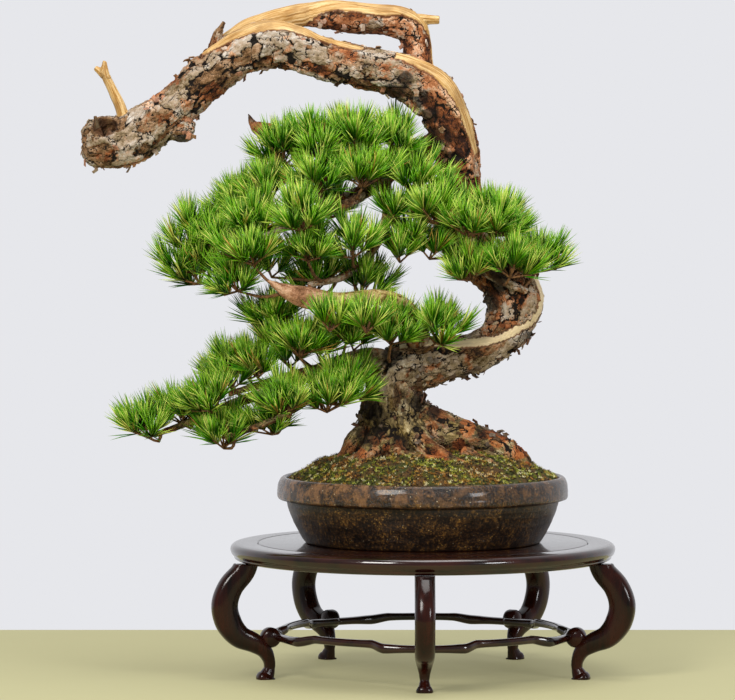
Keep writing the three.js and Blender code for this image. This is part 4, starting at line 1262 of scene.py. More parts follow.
        rise = 0.3 + 0.65 * plate + 1.0 * slope + 0.3 * small + 0.5 * small_slope
        rise = rise - 0.5 * crack - 0.15 * small_crack
        swelling, grit = noise(points / 0.05, 23, 2), noise(points / 0.0045, 24, 1)
        bark = depth * (rise - 0.62 + 0.3 * swelling + 0.16 * grit)
        lengthwise = np.stack([grain[:, 0], grain[:, 1], grain[:, 2] * 0.12], axis=1)
        smooth_wood = lift + 0.0008 * noise(lengthwise / 0.004, 5)
        hollow = Spine(HOLLOW)
        reach = np.linalg.norm(points[:, None] - hollow.points[None, ::3], axis=2)
        gap = np.min(reach - hollow.radii[::3], axis=1)
        hole = 1 - smoothstep(0.0002, 0.0022, gap)
        shift = (bark * (1 - dead) + smooth_wood * dead) * (1 - 0.7 * hole)
        reshape(mesh, points + normals * shift[:, None])
        for *spot, extent in ROUGH_SPOTS:
            away = np.linalg.norm(points - AXIS - np.array(spot) * MM, axis=1)
            flaky *= 1 + 11 * (1 - smoothstep(0.5, 1.0, away / (extent * MM)))
        flaky *= (lift < 1e-6) * (1 - dead) * (1 - hole)
        crack = np.maximum(crack, small_crack * 0.6) * np.clip(depth / 0.002, 0.3, 1)
        high = np.clip(0.5 + 0.8 * (rise - 0.62), 0, 1)
        # dark: nearness to the spots of painted shade and dark bark.
        store(mesh, grain=grain, plate=plate, dead=dead, rust=rust, flaky=flaky, hole=hole, crack=crack,
              high=high, low=low, dark=self.near(points, SHADE_AND_DARK_BARK_SPOTS), bright=self.near(points, BRIGHT_SPOTS))

    def flake(self) -> Piece:
        """One thin bent flake that stands on its edge, the pattern that the loose bark repeats."""
        outline = np.array(self.flake_outline) * self.flake_length
        middle = outline.mean(0)
        flat = np.vstack([outline, middle])
        across, along = self.flake_bends
        bend = across * flat[:, 0] ** 2 - along * (flat[:, 1] - self.flake_belly) ** 2
        lower = np.column_stack([flat, bend - self.flake_half])
        upper = np.column_stack([middle + (flat - middle) * self.flake_taper, bend + self.flake_half])
        faces = [(7 + k, 7 + (k + 1) % 6, 13) for k in range(6)] + [((k + 1) % 6, k, 6) for k in range(6)]
        faces += [(k, (k + 1) % 6, 7 + (k + 1) % 6, 7 + k) for k in range(6)]
        shell = Shell()
        shell.add(np.vstack([lower, upper]), faces)
        return piece_from("flake_pattern", shell.mesh("flake_pattern"), smooth=False)

    def flakes(self, name: str, wood: Piece, material: Material, seed: int) -> Piece:
        """Loose flakes on one piece of the wood.

        Args:
            name: The piece's name.
            wood: The piece that the flakes stand on.
            material: Their material.
            seed: The scatter's seed.

        Returns:
            The flakes as one piece.
        """
        carrier = piece_from("flake_carrier", wood.data.copy())
        pattern = self.flake()
        scatter = Scatter("loosen_bark")
        scatter.cover(pattern, material, "flaky", self.flake_lean)
        least, most = self.flake_sizes
        made = scatter.grow(carrier, Density=self.flake_density, Seed=seed, Least_Size=least, Most_Size=most)
        bpy.data.objects.remove(pattern)
        return dress(piece_from(name, made, smooth=False), "bark")

    def build(self) -> list[Piece]:
        """The finished wood, which stands for the solid trunk, with its loose flakes."""
        members = self.members()
        finish, loose = WoodFinish().material(), FlakeFinish().material()
        made = []
        for seed, (part, voxel) in enumerate(self.voxels):
            mesh = self.body(part, members, voxel)
            self.carve(mesh, members)
            piece = piece_from(f"wood_{part}", mesh, finish)
            made.append(dress(piece, "bark", *(("trunk",) if part == "low" else ())))
            if part != "boughs":
                made.append(self.flakes(f"bark_flakes_{part}", piece, loose, seed + self.flake_seed))
        return made


def first_draw(seed: int) -> float:
    """The first number, from 0 to 1, of the seeded stream that the solid model's sprays use."""
    mask = 0xFFFFFFFF
    t = (seed + 0x6D2B79F5) & mask
    t = ((t ^ (t >> 15)) * (t | 1)) & mask
    t ^= (t + ((t ^ (t >> 7)) * (t | 61) & mask)) & mask
    return (t ^ (t >> 14)) / 2.0**32


def tilted(axis: Array, tilt: float, turn: float) -> Array:
    """The direction at a tilt from an axis, turned round it by an angle."""
    side = np.array([1.0, 0, 0]) if abs(axis[2]) > 0.9 else np.array([0, 0, 1.0])
    u = unit(np.cross(side, axis))
    v = np.cross(axis, u)
    return axis * math.cos(tilt) + (u * math.cos(turn) + v * math.sin(turn)) * math.sin(tilt)


@dataclass
class Spray:
    """One spray: where its twig leaves the bough, the twig's knee, its fork and the tips of its shoots."""

    name: str
    root: Array
    knee: Array
    fork: Array
    tips: list[Array]


@dataclass
class Foliage:
    """The twigs and the needles of all pads."""

    drop: float = 0.014
    stem: float = 0.016
    # Each shoot's length in metres, its tilt and its turn in degrees.
    shoots: tuple[Triple, ...] = (
        (0.034, 70, 0), (0.029, 76, 120), (0.036, 68, 240), (0.026, 14, 60), (0.026, 42, 185),
        (0.027, 42, 310), (0.024, 86, 60), (0.024, 86, 300),
    )
    shoot_lift: float = 0.4
    unlike: float = 0.6
    seed: int = 2026
    outward: float = 0.6
    upward: float = 0.9
    flatten: float = 0.3
    turn_share: float = 0.3
    inset: float = 0.034
    filler_way: Triple = (0.1, -0.2, 1.0)
    filler_tilt: float = 44
    filler_turn: float = 2.1
    filler_reach: float = 0.02
    twig_radii: Triple = (0.0030, 0.0022, 0.0017)
    shoot_radii: Triple = (0.0015, 0.0013, 0.0012)
    whorls: int = 8
    pairs: int = 5
    bare_share: float = 0.55
    needled_share: float = 0.45
    needle_lift: float = 0.85
    needle_tilts: Pair = (7, 48)
    needle_length: float = 0.040
    needle_width: float = 0.0015
    needle_spread: Pair = (0.1, 0.05)
    first_seed: int = 3
    crown_sprays: int = 9
    inner_sprays: int = 8

    def __post_init__(self) -> None:
        """Reads the boughs' lines."""
        self.boughs = [Spine(stations) for stations in BOUGHS.values()]

    def plan(self) -> dict[str, list[Spray]]:
        """Lays out the sprays of each pad."""
        planned: dict[str, list[Spray]] = {}
        number = 0
        for pad, (middle, crowns) in PADS.items():
            planned[pad] = []
            for i, place in enumerate(crowns):
                out = np.array(place, float) - np.array(middle, float)
                out[2] *= self.flatten
                grows = unit(unit(out) * self.outward + UP * self.upward)
                fork = np.array(place, float) * MM + AXIS - grows * self.drop
                turn = first_draw(self.seed + number) * 2 * math.pi
                tips = []
                for k, (length, tilt, degrees) in enumerate(self.shoots):
                    chance = first_draw(self.seed * (k + 2) + number) - 0.5
                    lean = math.radians(tilt * (1 + chance * self.unlike))
                    swing = math.radians(degrees * (1 + chance * self.unlike * self.turn_share))
                    way = tilted(grows, lean, turn + swing)
                    reach = length * (1 - chance * self.unlike)
                    tips.append(fork + unit(way + UP * self.shoot_lift) * reach)
                root, knee = self.twig(fork - grows * self.stem)
                planned[pad].append(Spray(f"needles_{pad}_{i + 1:02d}", root, knee, fork, tips))
                number += 1
        return planned

    def fillers(self) -> list[Spray]:
        """Small tufts of three shoots between the sprays."""
        made = []
        grows = unit(np.array(self.filler_way))
        tilt = math.radians(self.filler_tilt)
        for number, place in enumerate(FILL_TUFTS):
            fork = np.array(place, float) * MM + AXIS - UP * self.drop
            turn = first_draw(7 * self.seed + number) * 2 * math.pi
            ways = [unit(tilted(grows, tilt, turn + k * self.filler_turn)) for k in range(3)]
            root, knee = self.twig(fork)
            made.append(Spray("", root, knee, fork, [fork + way * self.filler_reach for way in ways]))
        return made

    def twig(self, foot: Array) -> tuple[Array, Array]:
        """Joins a spray to the nearest bough.

        Args:
            foot: Where the spray starts.

        Returns:
            The twig's root on the bough and its knee.
        """
        best = (math.inf, foot)
        for bough in self.boughs:
            distance = np.linalg.norm(bough.points - foot, axis=1)
            i = int(np.argmin(distance))
            if distance[i] < best[0]:
                back = max(0.0, bough.along[i] - min(self.inset, distance[i] * 0.6))
                best = (float(distance[i]), bough.points[int(np.searchsorted(bough.along, back))])
        return best[1], best[1] * 0.45 + foot * 0.55

    def twigs(self, planned: dict[str, list[Spray]]) -> Piece:
        """All twigs and shoots as thin tapered tubes."""
        shell = Shell()

        def tube(path: list[Array], radii: Triple) -> None:
            """Adds one tube through some points."""
            stations = [(*((point - AXIS) / MM), radius / MM) for point, radius in zip(path, radii)]
            shell.skin(Spine(stations, 0.006).rings(6, 0.06))

        for sprays in planned.values():
            for spray in sprays:
                tube([spray.root, spray.knee, spray.fork], self.twig_radii)
                for tip in spray.tips:
                    tube([spray.fork, (spray.fork + tip) / 2, tip], self.shoot_radii)
        return dress(piece_from("twigs", shell.mesh("twigs"), TwigFinish().material()), "bark")

    def needle_pair(self) -> Piece:
        """Two slightly curved needles from one root, the pattern to repeat."""
        shell = Shell()
        along: list[float] = []
        aside, ahead = self.needle_spread
        for side in (-1, 1):
            rings = []
            angles = np.arange(3) * 2 * np.pi / 3 + side
            triangle = np.stack([np.cos(angles), np.sin(angles), 0 * angles], axis=1)
            for t, width in ((0.0, 0.42), (0.6, 0.5)):
                middle = np.array([side * aside * t**1.6, ahead * t * t, t]) * self.needle_length
                rings.append(self.needle_width * width * triangle + middle)
            tip = np.array([[side * aside, ahead, 1.0]]) * self.needle_length
            faces = [(2, 1, 0)] + [(j, (j + 1) % 3, 3 + (j + 1) % 3, 3 + j) for j in range(3)]
            faces += [(3 + j, 3 + (j + 1) % 3, 6) for j in range(3)]
            shell.add(np.vstack([*rings, tip]), faces)
            along += [0.0] * 3 + [0.6] * 3 + [1.0]
        mesh = shell.mesh("needle_pair")
        store(mesh, along=along)
        return piece_from("needle_pair", mesh)

    def roots(self, sprays: list[Spray]) -> Piece:
        """The points that needles grow from, with each shoot's direction and share."""
        points, ways, shares = [], [], []
        for spray in sprays:
            for tip in spray.tips:
                shoot = tip - spray.fork
                way = unit(unit(shoot) + UP * self.needle_lift)
                for share in np.linspace(0.0, 1.0, self.whorls):
                    points.append(spray.fork + shoot * (self.bare_share + self.needled_share * share))
                    ways.append(way)
                    shares.append(share)
        mesh = bpy.data.meshes.new("needle_roots")
        mesh.from_pydata([tuple(p) for p in points], [], [])
        store(mesh, way=ways, share=shares)
        return piece_from("needle_roots", mesh, smooth=False)

    def grown(self, name: str, sprays: list[Spray], pair: Piece, material: Material, seed: int) -> Piece:
        """One piece of needles, grown by geometry nodes from the sprays' shoots.

        Args:
            name: The piece's name.
            sprays: What it is grown on.
            pair: The pattern.
            material: Its material.
            seed: The scatter's seed.

        Returns:
            The piece.
        """
        carrier = self.roots(sprays)
        scatter = Scatter("grow_needles")
        scatter.needles(pair, material)
        least, most = (math.radians(tilt) for tilt in self.needle_tilts)
        made = scatter.grow(carrier, Pairs=self.pairs, Seed=seed, Least_Tilt=least, Most_Tilt=most)
        return dress(piece_from(name, made), "needles", *(spray.name for spray in sprays if spray.name))

    def build(self) -> list[Piece]:
        """The twigs and every piece of needles."""
        planned = self.plan()
        fillers = self.fillers()
        made = [self.twigs({**planned, "fillers": fillers})]
        pair = self.needle_pair()
        material = NeedleFinish().material()
        upper, right, lower = planned["upper"], planned["right"], planned["lower"]
        crown, inner = self.crown_sprays, self.inner_sprays
        groups = {"needles_crown": upper[:crown], "needles_shelf": upper[crown:] + fillers,
                  "needles_right": right,
                  "needles_low_inner": lower[:inner], "needles_low_outer": lower[inner:]}
        for seed, (name, sprays) in enumerate(groups.items()):
            made.append(self.grown(name, sprays, pair, material, seed + self.first_seed))
        bpy.data.objects.remove(pair)
        return made


# How far single needles differ: in tilt and in length, as shares
TILT_RANGE: Pair = (0.55, 1.2)
NEEDLE_RANGE: Pair = (0.74, 1.2)


class Scatter(Graph):
    """A geometry node tree that repeats a small pattern."""

    def __init__(self, name: str) -> None:
        """Makes an empty tree with a geometry going in and one coming out."""
        tree = bpy.data.node_groups.new(name, "GeometryNodeTree")
        super().__init__(tree)
        tree.interface.new_socket("Geometry", in_out="INPUT", socket_type="NodeSocketGeometry")
        tree.interface.new_socket("Geometry", in_out="OUTPUT", socket_type="NodeSocketGeometry")

    def sizes(self, **kinds: str) -> None:
        """Names the tree's inputs, each with float or int as its kind."""
        for name, kind in kinds.items():
            socket_type = "NodeSocketInt" if kind == "int" else "NodeSocketFloat"
            self.tree.interface.new_socket(name.replace("_", " "), in_out="INPUT", socket_type=socket_type)
        self.entry = self.tree.nodes.new("NodeGroupInput")

    def size(self, name: str) -> Wire:
        """One of the tree's inputs."""
        return Wire(self, self.entry.outputs[name])

    def random(self, low: Any, high: Any, seed: int) -> Wire:
        """A random number for each element, from the tree's Seed and a number of its own."""
        inputs = {"Min_001": low, "Max_001": high, "Seed": self.size("Seed") + seed}
        return self.add("FunctionNodeRandomValue", {"data_type": "FLOAT"}, inputs, "Value_001")

    def turn(self, rotation: Wire, angle: Wire, coordinate: str) -> Wire:
        """A rotation turned by an angle about one of its own axes."""
        euler = self.add("ShaderNodeCombineXYZ", None, {coordinate: angle}, "Vector")
        by = self.add("FunctionNodeEulerToRotation", None, {"Euler": euler}, "Rotation")
        return self.add("FunctionNodeRotateRotation", {"rotation_space": "LOCAL"},
                        {"Rotation": rotation, "Rotate By": by}, "Rotation")

    def stored(self, name: str, kind: str = "FLOAT") -> Wire:
        """A value that the carrier keeps for each vertex."""
        return self.add("GeometryNodeInputNamedAttribute", {"data_type": kind}, {"Name": name}, "Attribute")

    def copy(self, pattern: Piece, material: Material, points: Wire, rotation: Wire, scale: Wire,
             seed: int) -> None:
        """Ends the tree with copies of a pattern, each with a random tint, made real and dressed.

        Args:
            pattern: The small mesh.
            material: Its material.
            points: Where the copies stand.
            rotation: How each is turned.
            scale: How large each is.
            seed: The number of the tint's random stream.
        """
        mesh = self.add("GeometryNodeObjectInfo", None, {"Object": pattern}, "Geometry")
        inputs = {"Points": points, "Instance": mesh, "Rotation": rotation, "Scale": scale}
        copies = self.add("GeometryNodeInstanceOnPoints", None, inputs, "Instances")
        settings = {"data_type": "FLOAT", "domain": "INSTANCE"}
        inputs = {"Geometry": copies, "Name": "tint", "Value": self.random(0.0, 1.0, seed)}
        tinted = self.add("GeometryNodeStoreNamedAttribute", settings, inputs, "Geometry")
        real = self.add("GeometryNodeRealizeInstances", None, {"Geometry": tinted}, "Geometry")
        inputs = {"Geometry": real, "Material": material}
        dressed = self.add("GeometryNodeSetMaterial", None, inputs, "Geometry")
        leave = self.tree.nodes.new("NodeGroupOutput")
        self.tree.links.new(dressed.socket, leave.inputs["Geometry"])

    def needles(self, pair: Piece, material: Material) -> None:
        """Fans pairs of needles round each root, wider at the foot of the shoot than at its tip."""
        self.sizes(Pairs="int", Seed="int", Least_Tilt="float", Most_Tilt="float")
        points = self.add("GeometryNodeMeshToPoints", None, {"Mesh": self.size("Geometry")}, "Points")
        many = self.add("GeometryNodeDuplicateElements", {"domain": "POINT"},
                        {"Geometry": points, "Amount": self.size("Pairs")}, "Geometry")
        way, share = self.stored("way", "FLOAT_VECTOR"), self.stored("share")
        base = self.add("FunctionNodeAlignRotationToVector", {"axis": "Z"}, {"Vector": way}, "Rotation")
        wide = self.size("Most Tilt") + (self.size("Least Tilt") - self.size("Most Tilt")) * share
        tilt = wide * self.random(*TILT_RANGE, 2)
        rotation = self.turn(self.turn(base, self.random(0.0, 2 * math.pi, 1), "Z"), tilt, "X")
        rotation = self.turn(rotation, self.random(0.0, math.pi, 5), "Z")
        self.copy(pair, material, many, rotation, self.random(*NEEDLE_RANGE, 4), 6)

    def cover(self, pattern: Piece, material: Material, where: str, lean: Pair = (0.0, 0.0)) -> None:
        """Stands copies of a pattern on a surface.

        Args:
            pattern: The small mesh.
            material: Its material.
            where: The vertex value that says how dense the copies stand.
            lean: The least and the most that a copy leans over, in radians.
        """
        self.sizes(Density="float", Seed="int", Least_Size="float", Most_Size="float")
        settings = {"distribute_method": "RANDOM"}
        density = self.size("Density") * self.stored(where)
        inputs = {"Mesh": self.size("Geometry"), "Density": density, "Seed": self.size("Seed")}
        points = self.add("GeometryNodeDistributePointsOnFaces", settings, inputs, "Points")
        node = points.socket.node
        rotation = self.turn(Wire(self, node.outputs["Rotation"]), self.random(0.0, 2 * math.pi, 1), "Z")
        rotation = self.turn(rotation, self.random(*lean, 7), "X")
        scale = self.random(self.size("Least Size"), self.size("Most Size"), 2)
        self.copy(pattern, material, points, rotation, scale, 3)

    def grow(self, carrier: Piece, **sizes: float) -> Mesh:
        """Puts the tree on a carrier, which is used up.

        Args:
            carrier: The piece that the copies stand on.
            sizes: The tree's inputs, with _ for a space.

        Returns:
            The copies as one mesh.
        """
        modifier = carrier.modifiers.new("scatter", "NODES")
        modifier.node_group = self.tree
        for item in self.tree.interface.items_tree:
            key = item.name.replace(" ", "_")
            if item.in_out == "INPUT" and key in sizes:
                modifier[item.identifier] = sizes[key]
        carrier.update_tag()
        return evaluated_mesh(carrier)


# The pot and its soil


@dataclass
class Pot:
    """The round glazed pot, its mound of soil and the moss on it."""

    rim_band: float = 0.029
    rim_wall: float = 0.013
    body_inset: float = 0.013
    segments: int = 144
    edge_reach: float = 0.003
    # The section's parts, as radius and height from the place that outline() gives for each.
    foot_part: Stations = (
        (0.0, 0.005), (0.137, 0.005), (0.139, 0.0), (0.153, 0.0), (0.156, 0.004), (0.161, 0.013))
    wall_part: Stations = ((-0.008, 0.028), (-0.003, 0.040), (-0.0004, 0.048))
    neck_part: Stations = ((0.0005, -0.004), (0.001, -0.001))
    band_part: Stations = ((-0.002, 0.0), (-0.0002, 0.003), (0.0, 0.010))
    lip_part: Stations = ((-0.0012, -0.009), (-0.0036, -0.003), (-0.007, 0.0))
    mouth_part: Stations = ((0.002, 0.0), (0.0, -0.004), (0.0, -0.010))
    inner_part: Stations = ((-0.012, -0.035),)
    floor_part: Stations = ((0.147, 0.022), (0.139, 0.012), (0.0, 0.012))
    mound_middle: float = 0.0012
    mound_edge: float = 0.1765
    mound_rings: int = 90
    mound_sides: int = 300
    # The mound's height over the rim: distances from the axis, and the height there.
    mound_line: Stations = ((0, 0.05, 0.095, 0.122, 0.147, 0.166, 0.1767),
                            (0.031, 0.030, 0.027, 0.022, 0.012, 0.002, -0.004))
    soil_inner: Stations = ((0.1765, -0.010), (0.1645, -0.035))
    soil_floor: Stations = ((0.1465, 0.0223), (0.1385, 0.0123), (0.02, 0.0123))
    cushion: float = 0.011
    cushion_top: float = 0.7
    moss_density: float = 102000.0
    moss_sizes: Pair = (0.7, 1.9)
    moss_seed: int = 5

    def __post_init__(self) -> None:
        """Reads the pot's place from the frame."""
        self.foot = POT_LOW.z
        self.rim = POT_HIGH.z
        self.radius = (POT_HIGH.x - POT_LOW.x) / 2

    def outline(self) -> list[Pair]:
        """The pot's section from under its floor, round its rim and down to its floor inside."""
        foot, rim, radius = self.foot, self.rim, self.radius
        body, mouth, band = radius - self.body_inset, radius - self.rim_wall, rim - self.rim_band
        corners = joined(
            (0.0, foot, self.foot_part), (body, foot, self.wall_part), (body, band, self.neck_part),
            (radius, band, self.band_part), (radius, rim, self.lip_part), (mouth, rim, self.mouth_part),
            (body, rim, self.inner_part), (0.0, foot, self.floor_part))
        return rounded(corners, self.edge_reach)

    def build(self) -> list[Piece]:
        """The pot, the mound and the moss."""
        mesh = turned(self.outline(), self.segments).mesh("pot_body")
        points = values_of(mesh, "co")
        out = unit((points - AXIS) * np.array([1, 1, 0]))
        waves, throws = noise(points / 0.03, 71), noise(points * np.array([0.15, 0.15, 1]) / 0.004, 72)
        reshape(mesh, points + out * (0.0005 * waves + 0.0004 * throws - 0.0004)[:, None])
        glaze = GlazeFinish().material(self.rim, self.rim_band)
        pot = dress(piece_from("pot_body", mesh, glaze), "glaze", "pot")
        mound = self.mound()
        return [pot, mound, self.moss(mound)]

    def mound(self) -> Piece:
        """The soil from the pot's floor to its uneven top."""
        radii = np.linspace(self.mound_middle, self.mound_edge, self.mound_rings)
        angles = round_turn(self.mound_sides)
        rows = [*zip(radii, self.rim + np.interp(radii, *self.mound_line))]
        rows += joined((0.0, self.rim, self.soil_inner), (0.0, self.foot, self.soil_floor))
        rings = np.empty((len(rows), len(angles), 3))
        for ring, (radius, height) in zip(rings, rows):
            ring[:, 0] = AXIS[0] + radius * np.cos(angles)
            ring[:, 1] = AXIS[1] + radius * np.sin(angles)
            ring[:, 2] = height
        top = rings[:len(radii)].reshape(-1, 3)
        fade = np.clip((self.mound_line[0][-1] - np.repeat(radii, len(angles))) / 0.02, 0, 1)
        cushion = np.minimum(cells(top / self.cushion, 84)[0], self.cushion_top)
        lumps = 0.0036 * noise(top / 0.026, 81) + 0.0016 * noise(top / 0.004, 83) + 0.0072 * cushion - 0.002
        top[:, 2] += lumps * fade + 0.0008
        rings[:len(radii)] = top.reshape(len(radii), len(angles), 3)
        shell = Shell()
        shell.skin(rings[::-1])
        mesh = shell.mesh("soil_mound")
        points, normals = values_of(mesh, "co"), values_of(mesh, "normal")
        distance = np.linalg.norm((points - AXIS)[:, :2], axis=1)
        patch = 0.25 + 0.75 * smoothstep(-0.5, 0.2, noise(points / 0.03, 91))
        inside = distance < self.mound_edge - 0.002
        mossy = patch * (normals[:, 2] > 0.3) * (points[:, 2] > self.rim - 0.008) * inside
        edge = cells(points * np.array([1, 1, 0.5]) / self.cushion, 84)[0]
        store(mesh, mossy=mossy, cushion=np.minimum(edge, self.cushion_top) / self.cushion_top)
        return dress(piece_from("soil_mound", mesh, SoilFinish().material()), "soil", "soil")

    def tuft(self) -> Piece:
        """A tiny star of leaves, the pattern that the moss repeats."""
        shell = Shell()
        along: list[float] = []
        for k in range(4):
            turn = k * math.pi / 2 + 0.4
            out = np.array([math.cos(turn), math.sin(turn), 0.0])
            across = np.array([-out[1], out[0], 0.0])
            middle = out * 0.0006 + np.array([0, 0, 0.0012])
            tip = out * (0.0016 if k else 0.0003) + np.array([0, 0, 0.0024])
            shell.add(np.array([out * 0.0002 - across * 0.0004, out * 0.0002 + across * 0.0004,
                                -out * 0.0004, tip, middle]), [(2, 1, 0), (0, 1, 3), (1, 2, 3), (2, 0, 3)])
            along += [0.0, 0.0, 0.0, 1.0, 0.6]
        mesh = shell.mesh("moss_tuft")
        store(mesh, along=along)
        return piece_from("moss_tuft", mesh)

    def moss(self, mound: Piece) -> Piece:
        """The moss on the mound."""
        carrier = piece_from("moss_carrier", mound.data.copy())
        tuft = self.tuft()
        scatter = Scatter("grow_moss")
        scatter.cover(tuft, MossFinish().material(), "mossy")
        least, most = self.moss_sizes
        made = scatter.grow(
            carrier, Density=self.moss_density, Seed=self.moss_seed, Least_Size=least, Most_Size=most)
        bpy.data.objects.remove(tuft)
        return dress(piece_from("moss", made), "soil")


# The stand


@dataclass
class Stand:
    """The round display stand: frame, panel, legs and rails."""

    radius: float = 0.251
    panel_radius: float = 0.215
    panel_thickness: float = 0.012
    ledge: float = 0.016
    gap: float = 0.0003
    groove: float = 0.0016
    panel_ring: float = 0.08
    segments: int = 160
    frame_bevel: float = 0.0022
    panel_bevel: float = 0.0008
    # The frame's moulding, from its radius and its underside, and from its radius and its top.
    low_moulding: Stations = (
        (-0.009, 0.0), (-0.005, 0.0025), (-0.0052, 0.0055), (-0.002, 0.0075), (0.0, 0.0135))
    top_moulding: Stations = ((-0.001, -0.004), (-0.005, -0.0008), (-0.012, 0.0))
    legs: int = 5
    # The scroll knob's distance from the axis, its height, its radius and half its thickness.
    knob: Triple = (0.2076, 0.054, 0.013)
    knob_half: float = 0.011
    # The rail's half angle in degrees, where it steps in, and its sizes at the ends and in the middle.
    rail_half: float = 35.95
    rail_step: Pair = (13.5, 21)
    rail_radii: Pair = (0.192, 0.181)
    rail_widths: Pair = (0.0068, 0.0055)
    rail_height: float = 0.0522
    rail_rise: float = 0.0042
    rail_tall: float = 0.0048
    rail_swell: float = 0.0014
    # The leg in millimetres: distance from the axis, height, half thickness and half width.
    leg_line: Stations = (
        (240, 149.7, 15, 13), (243, 143, 15, 13), (246, 138, 15, 13), (261, 121, 16, 13), (269, 98, 17, 13),
        (264, 75, 17, 13), (250, 57, 15, 13), (231, 48, 13, 12.5), (216, 37, 10, 10.5), (209.5, 24, 7.6, 7.4),
        (209, 14, 7, 6), (212, 6, 9.5, 8), (214, 2, 12, 11), (214, 0, 12, 11),
    )

    def frame_piece(self, material: Material) -> Piece:
        """The moulded ring with a ledge inside."""
        top, under, inner = STAND_TOP, STAND_UNDER, self.panel_radius - self.ledge
        ledge = top - self.panel_thickness - self.gap
        corners = joined(
            (inner, under, ((0.0, 0.0),)), (self.radius, under, self.low_moulding),
            (self.radius, top, self.top_moulding),
            (self.panel_radius, top, ((self.groove, 0.0), (0.0, -self.groove))),
            (0.0, 0.0, ((self.panel_radius, ledge), (inner, ledge), (inner, under))))
        shell = turned(rounded(corners, self.frame_bevel), self.segments)
        return dress(piece_from("stand_top_frame", shell.mesh("frame"), material), "rosewood", "stand_frame")

    def panel_piece(self, material: Material) -> Piece:
        """The round panel set into the frame."""
        top, low, r = STAND_TOP, STAND_TOP - self.panel_thickness, self.panel_radius - self.gap
        groove, ring = self.groove, self.panel_ring
        outline = [(0.0, low), (r, low), (r, top - groove), (r - groove, top), (ring, top), (0.0, top)]
        shell = turned(rounded(outline, self.panel_bevel, 2), self.segments)
        return dress(piece_from("stand_top_panel", shell.mesh("panel"), material), "rosewood", "stand_panel")

    def placed(self, shell: Shell, name: str, degrees: float) -> Mesh:
        """A mesh turned about the stand's axis into its place."""
        mesh = shell.mesh(name)
        mesh.transform(Matrix.Translation(Vector(AXIS)) @ Matrix.Rotation(math.radians(degrees), 4, "Z"))
        mesh.update()
        return mesh

    def leg(self) -> Shell:
        """One curved leg with its scroll knob, before it is turned into place."""
        line = np.array(self.leg_line) * MM
        places = np.linspace(0, len(line) - 1, 92)
        centre = along_curve(np.stack([line[:, 0], np.zeros(len(line)), line[:, 1]], axis=1), places)
        thick = np.interp(places, np.arange(len(line)), line[:, 2])
        width = np.interp(places, np.arange(len(line)), line[:, 3])
        way = unit(np.gradient(centre, axis=0))
        flat_end = smoothstep(0.6, 0.0, places) + smoothstep(len(line) - 2.2, len(line) - 1.3, places)
        way = unit(way * (1 - flat_end)[:, None] + np.array([0, 0, -1.0]) * flat_end[:, None])
        across = np.stack([-way[:, 2], np.zeros(len(way)), way[:, 0]], axis=1)
        c, s = squarish(28)
        rings = centre[:, None] + across[:, None] * (thick[:, None] * c)[..., None]
        rings[:, :, 1] += width[:, None] * s
        rings[:, :, 2] = np.clip(rings[:, :, 2], 0.0, STAND_UNDER)
        shell = Shell()
        shell.skin(rings)
        self.scroll(shell)
        return shell

    def scroll(self, shell: Shell) -> None:
        """Adds the scroll knob: a fat disc with domed sides."""
        x, z, radius = self.knob
        half = self.knob_half
        side = [(0.0008, half), (0.004, half - 0.0003), (radius - 0.004, half - 0.0014),
                (radius - 0.0012, half - 0.0034), (radius, half - 0.0065)]
        profile = [(r, -y) for r, y in side] + side[::-1]
        angle = round_turn(36)
        rings = np.empty((len(profile), len(angle), 3))
        for ring, (r, y) in zip(rings, profile):
            ring[:] = np.stack([x + r * np.cos(angle), np.full(len(angle), y), z + r * np.sin(angle)], axis=1)
        shell.skin(rings)

    def rail(self) -> Shell:
        """One rail: its ends run low and outside, then swell and step up and in to a thinner middle."""
        degrees = np.linspace(-self.rail_half, self.rail_half, 90)
        inward = 1 - smoothstep(*self.rail_step, np.abs(degrees))
        swell = np.exp(-((np.abs(degrees) - 20) / 6) ** 2)
        radius, half = (end + (middle - end) * inward for end, middle in (self.rail_radii, self.rail_widths))
        height = self.rail_height + self.rail_rise * inward
        tall = self.rail_tall + self.rail_swell * swell
        c, s = squarish(14)
        reach = radius[:, None] + half[:, None] * c[None, :]
        turn = np.radians(degrees)[:, None]
        rise = height[:, None] + tall[:, None] * s[None, :]
        rings = np.stack([reach * np.cos(turn), reach * np.sin(turn), rise], axis=-1)
        shell = Shell()
        shell.skin(rings)
        return shell

    def build(self) -> list[Piece]:
        """Every piece of the stand."""
        flat = LacquerFinish().material("rosewood_top", (0.08, 1.0, 1.0), 0.75)
        upright = LacquerFinish().material("rosewood_legs", (1.0, 1.0, 0.12), 0.1)
        made = [self.frame_piece(flat), self.panel_piece(flat)]
        spacing = 360 / self.legs
        for i in range(self.legs):
            mesh = self.placed(self.leg(), f"stand_foot_leg_{i + 1}", -90 + spacing * i)
            made.append(dress(piece_from(mesh.name, mesh, upright), "rosewood", f"stand_leg_{i + 1}"))
            mesh = self.placed(self.rail(), f"stand_wavy_rail_{i + 1}", -90 + spacing * (i + 0.5))
            made.append(dress(piece_from(mesh.name, mesh, flat), "rosewood", f"stand_rail_{i + 1}"))
        return made


# The studio


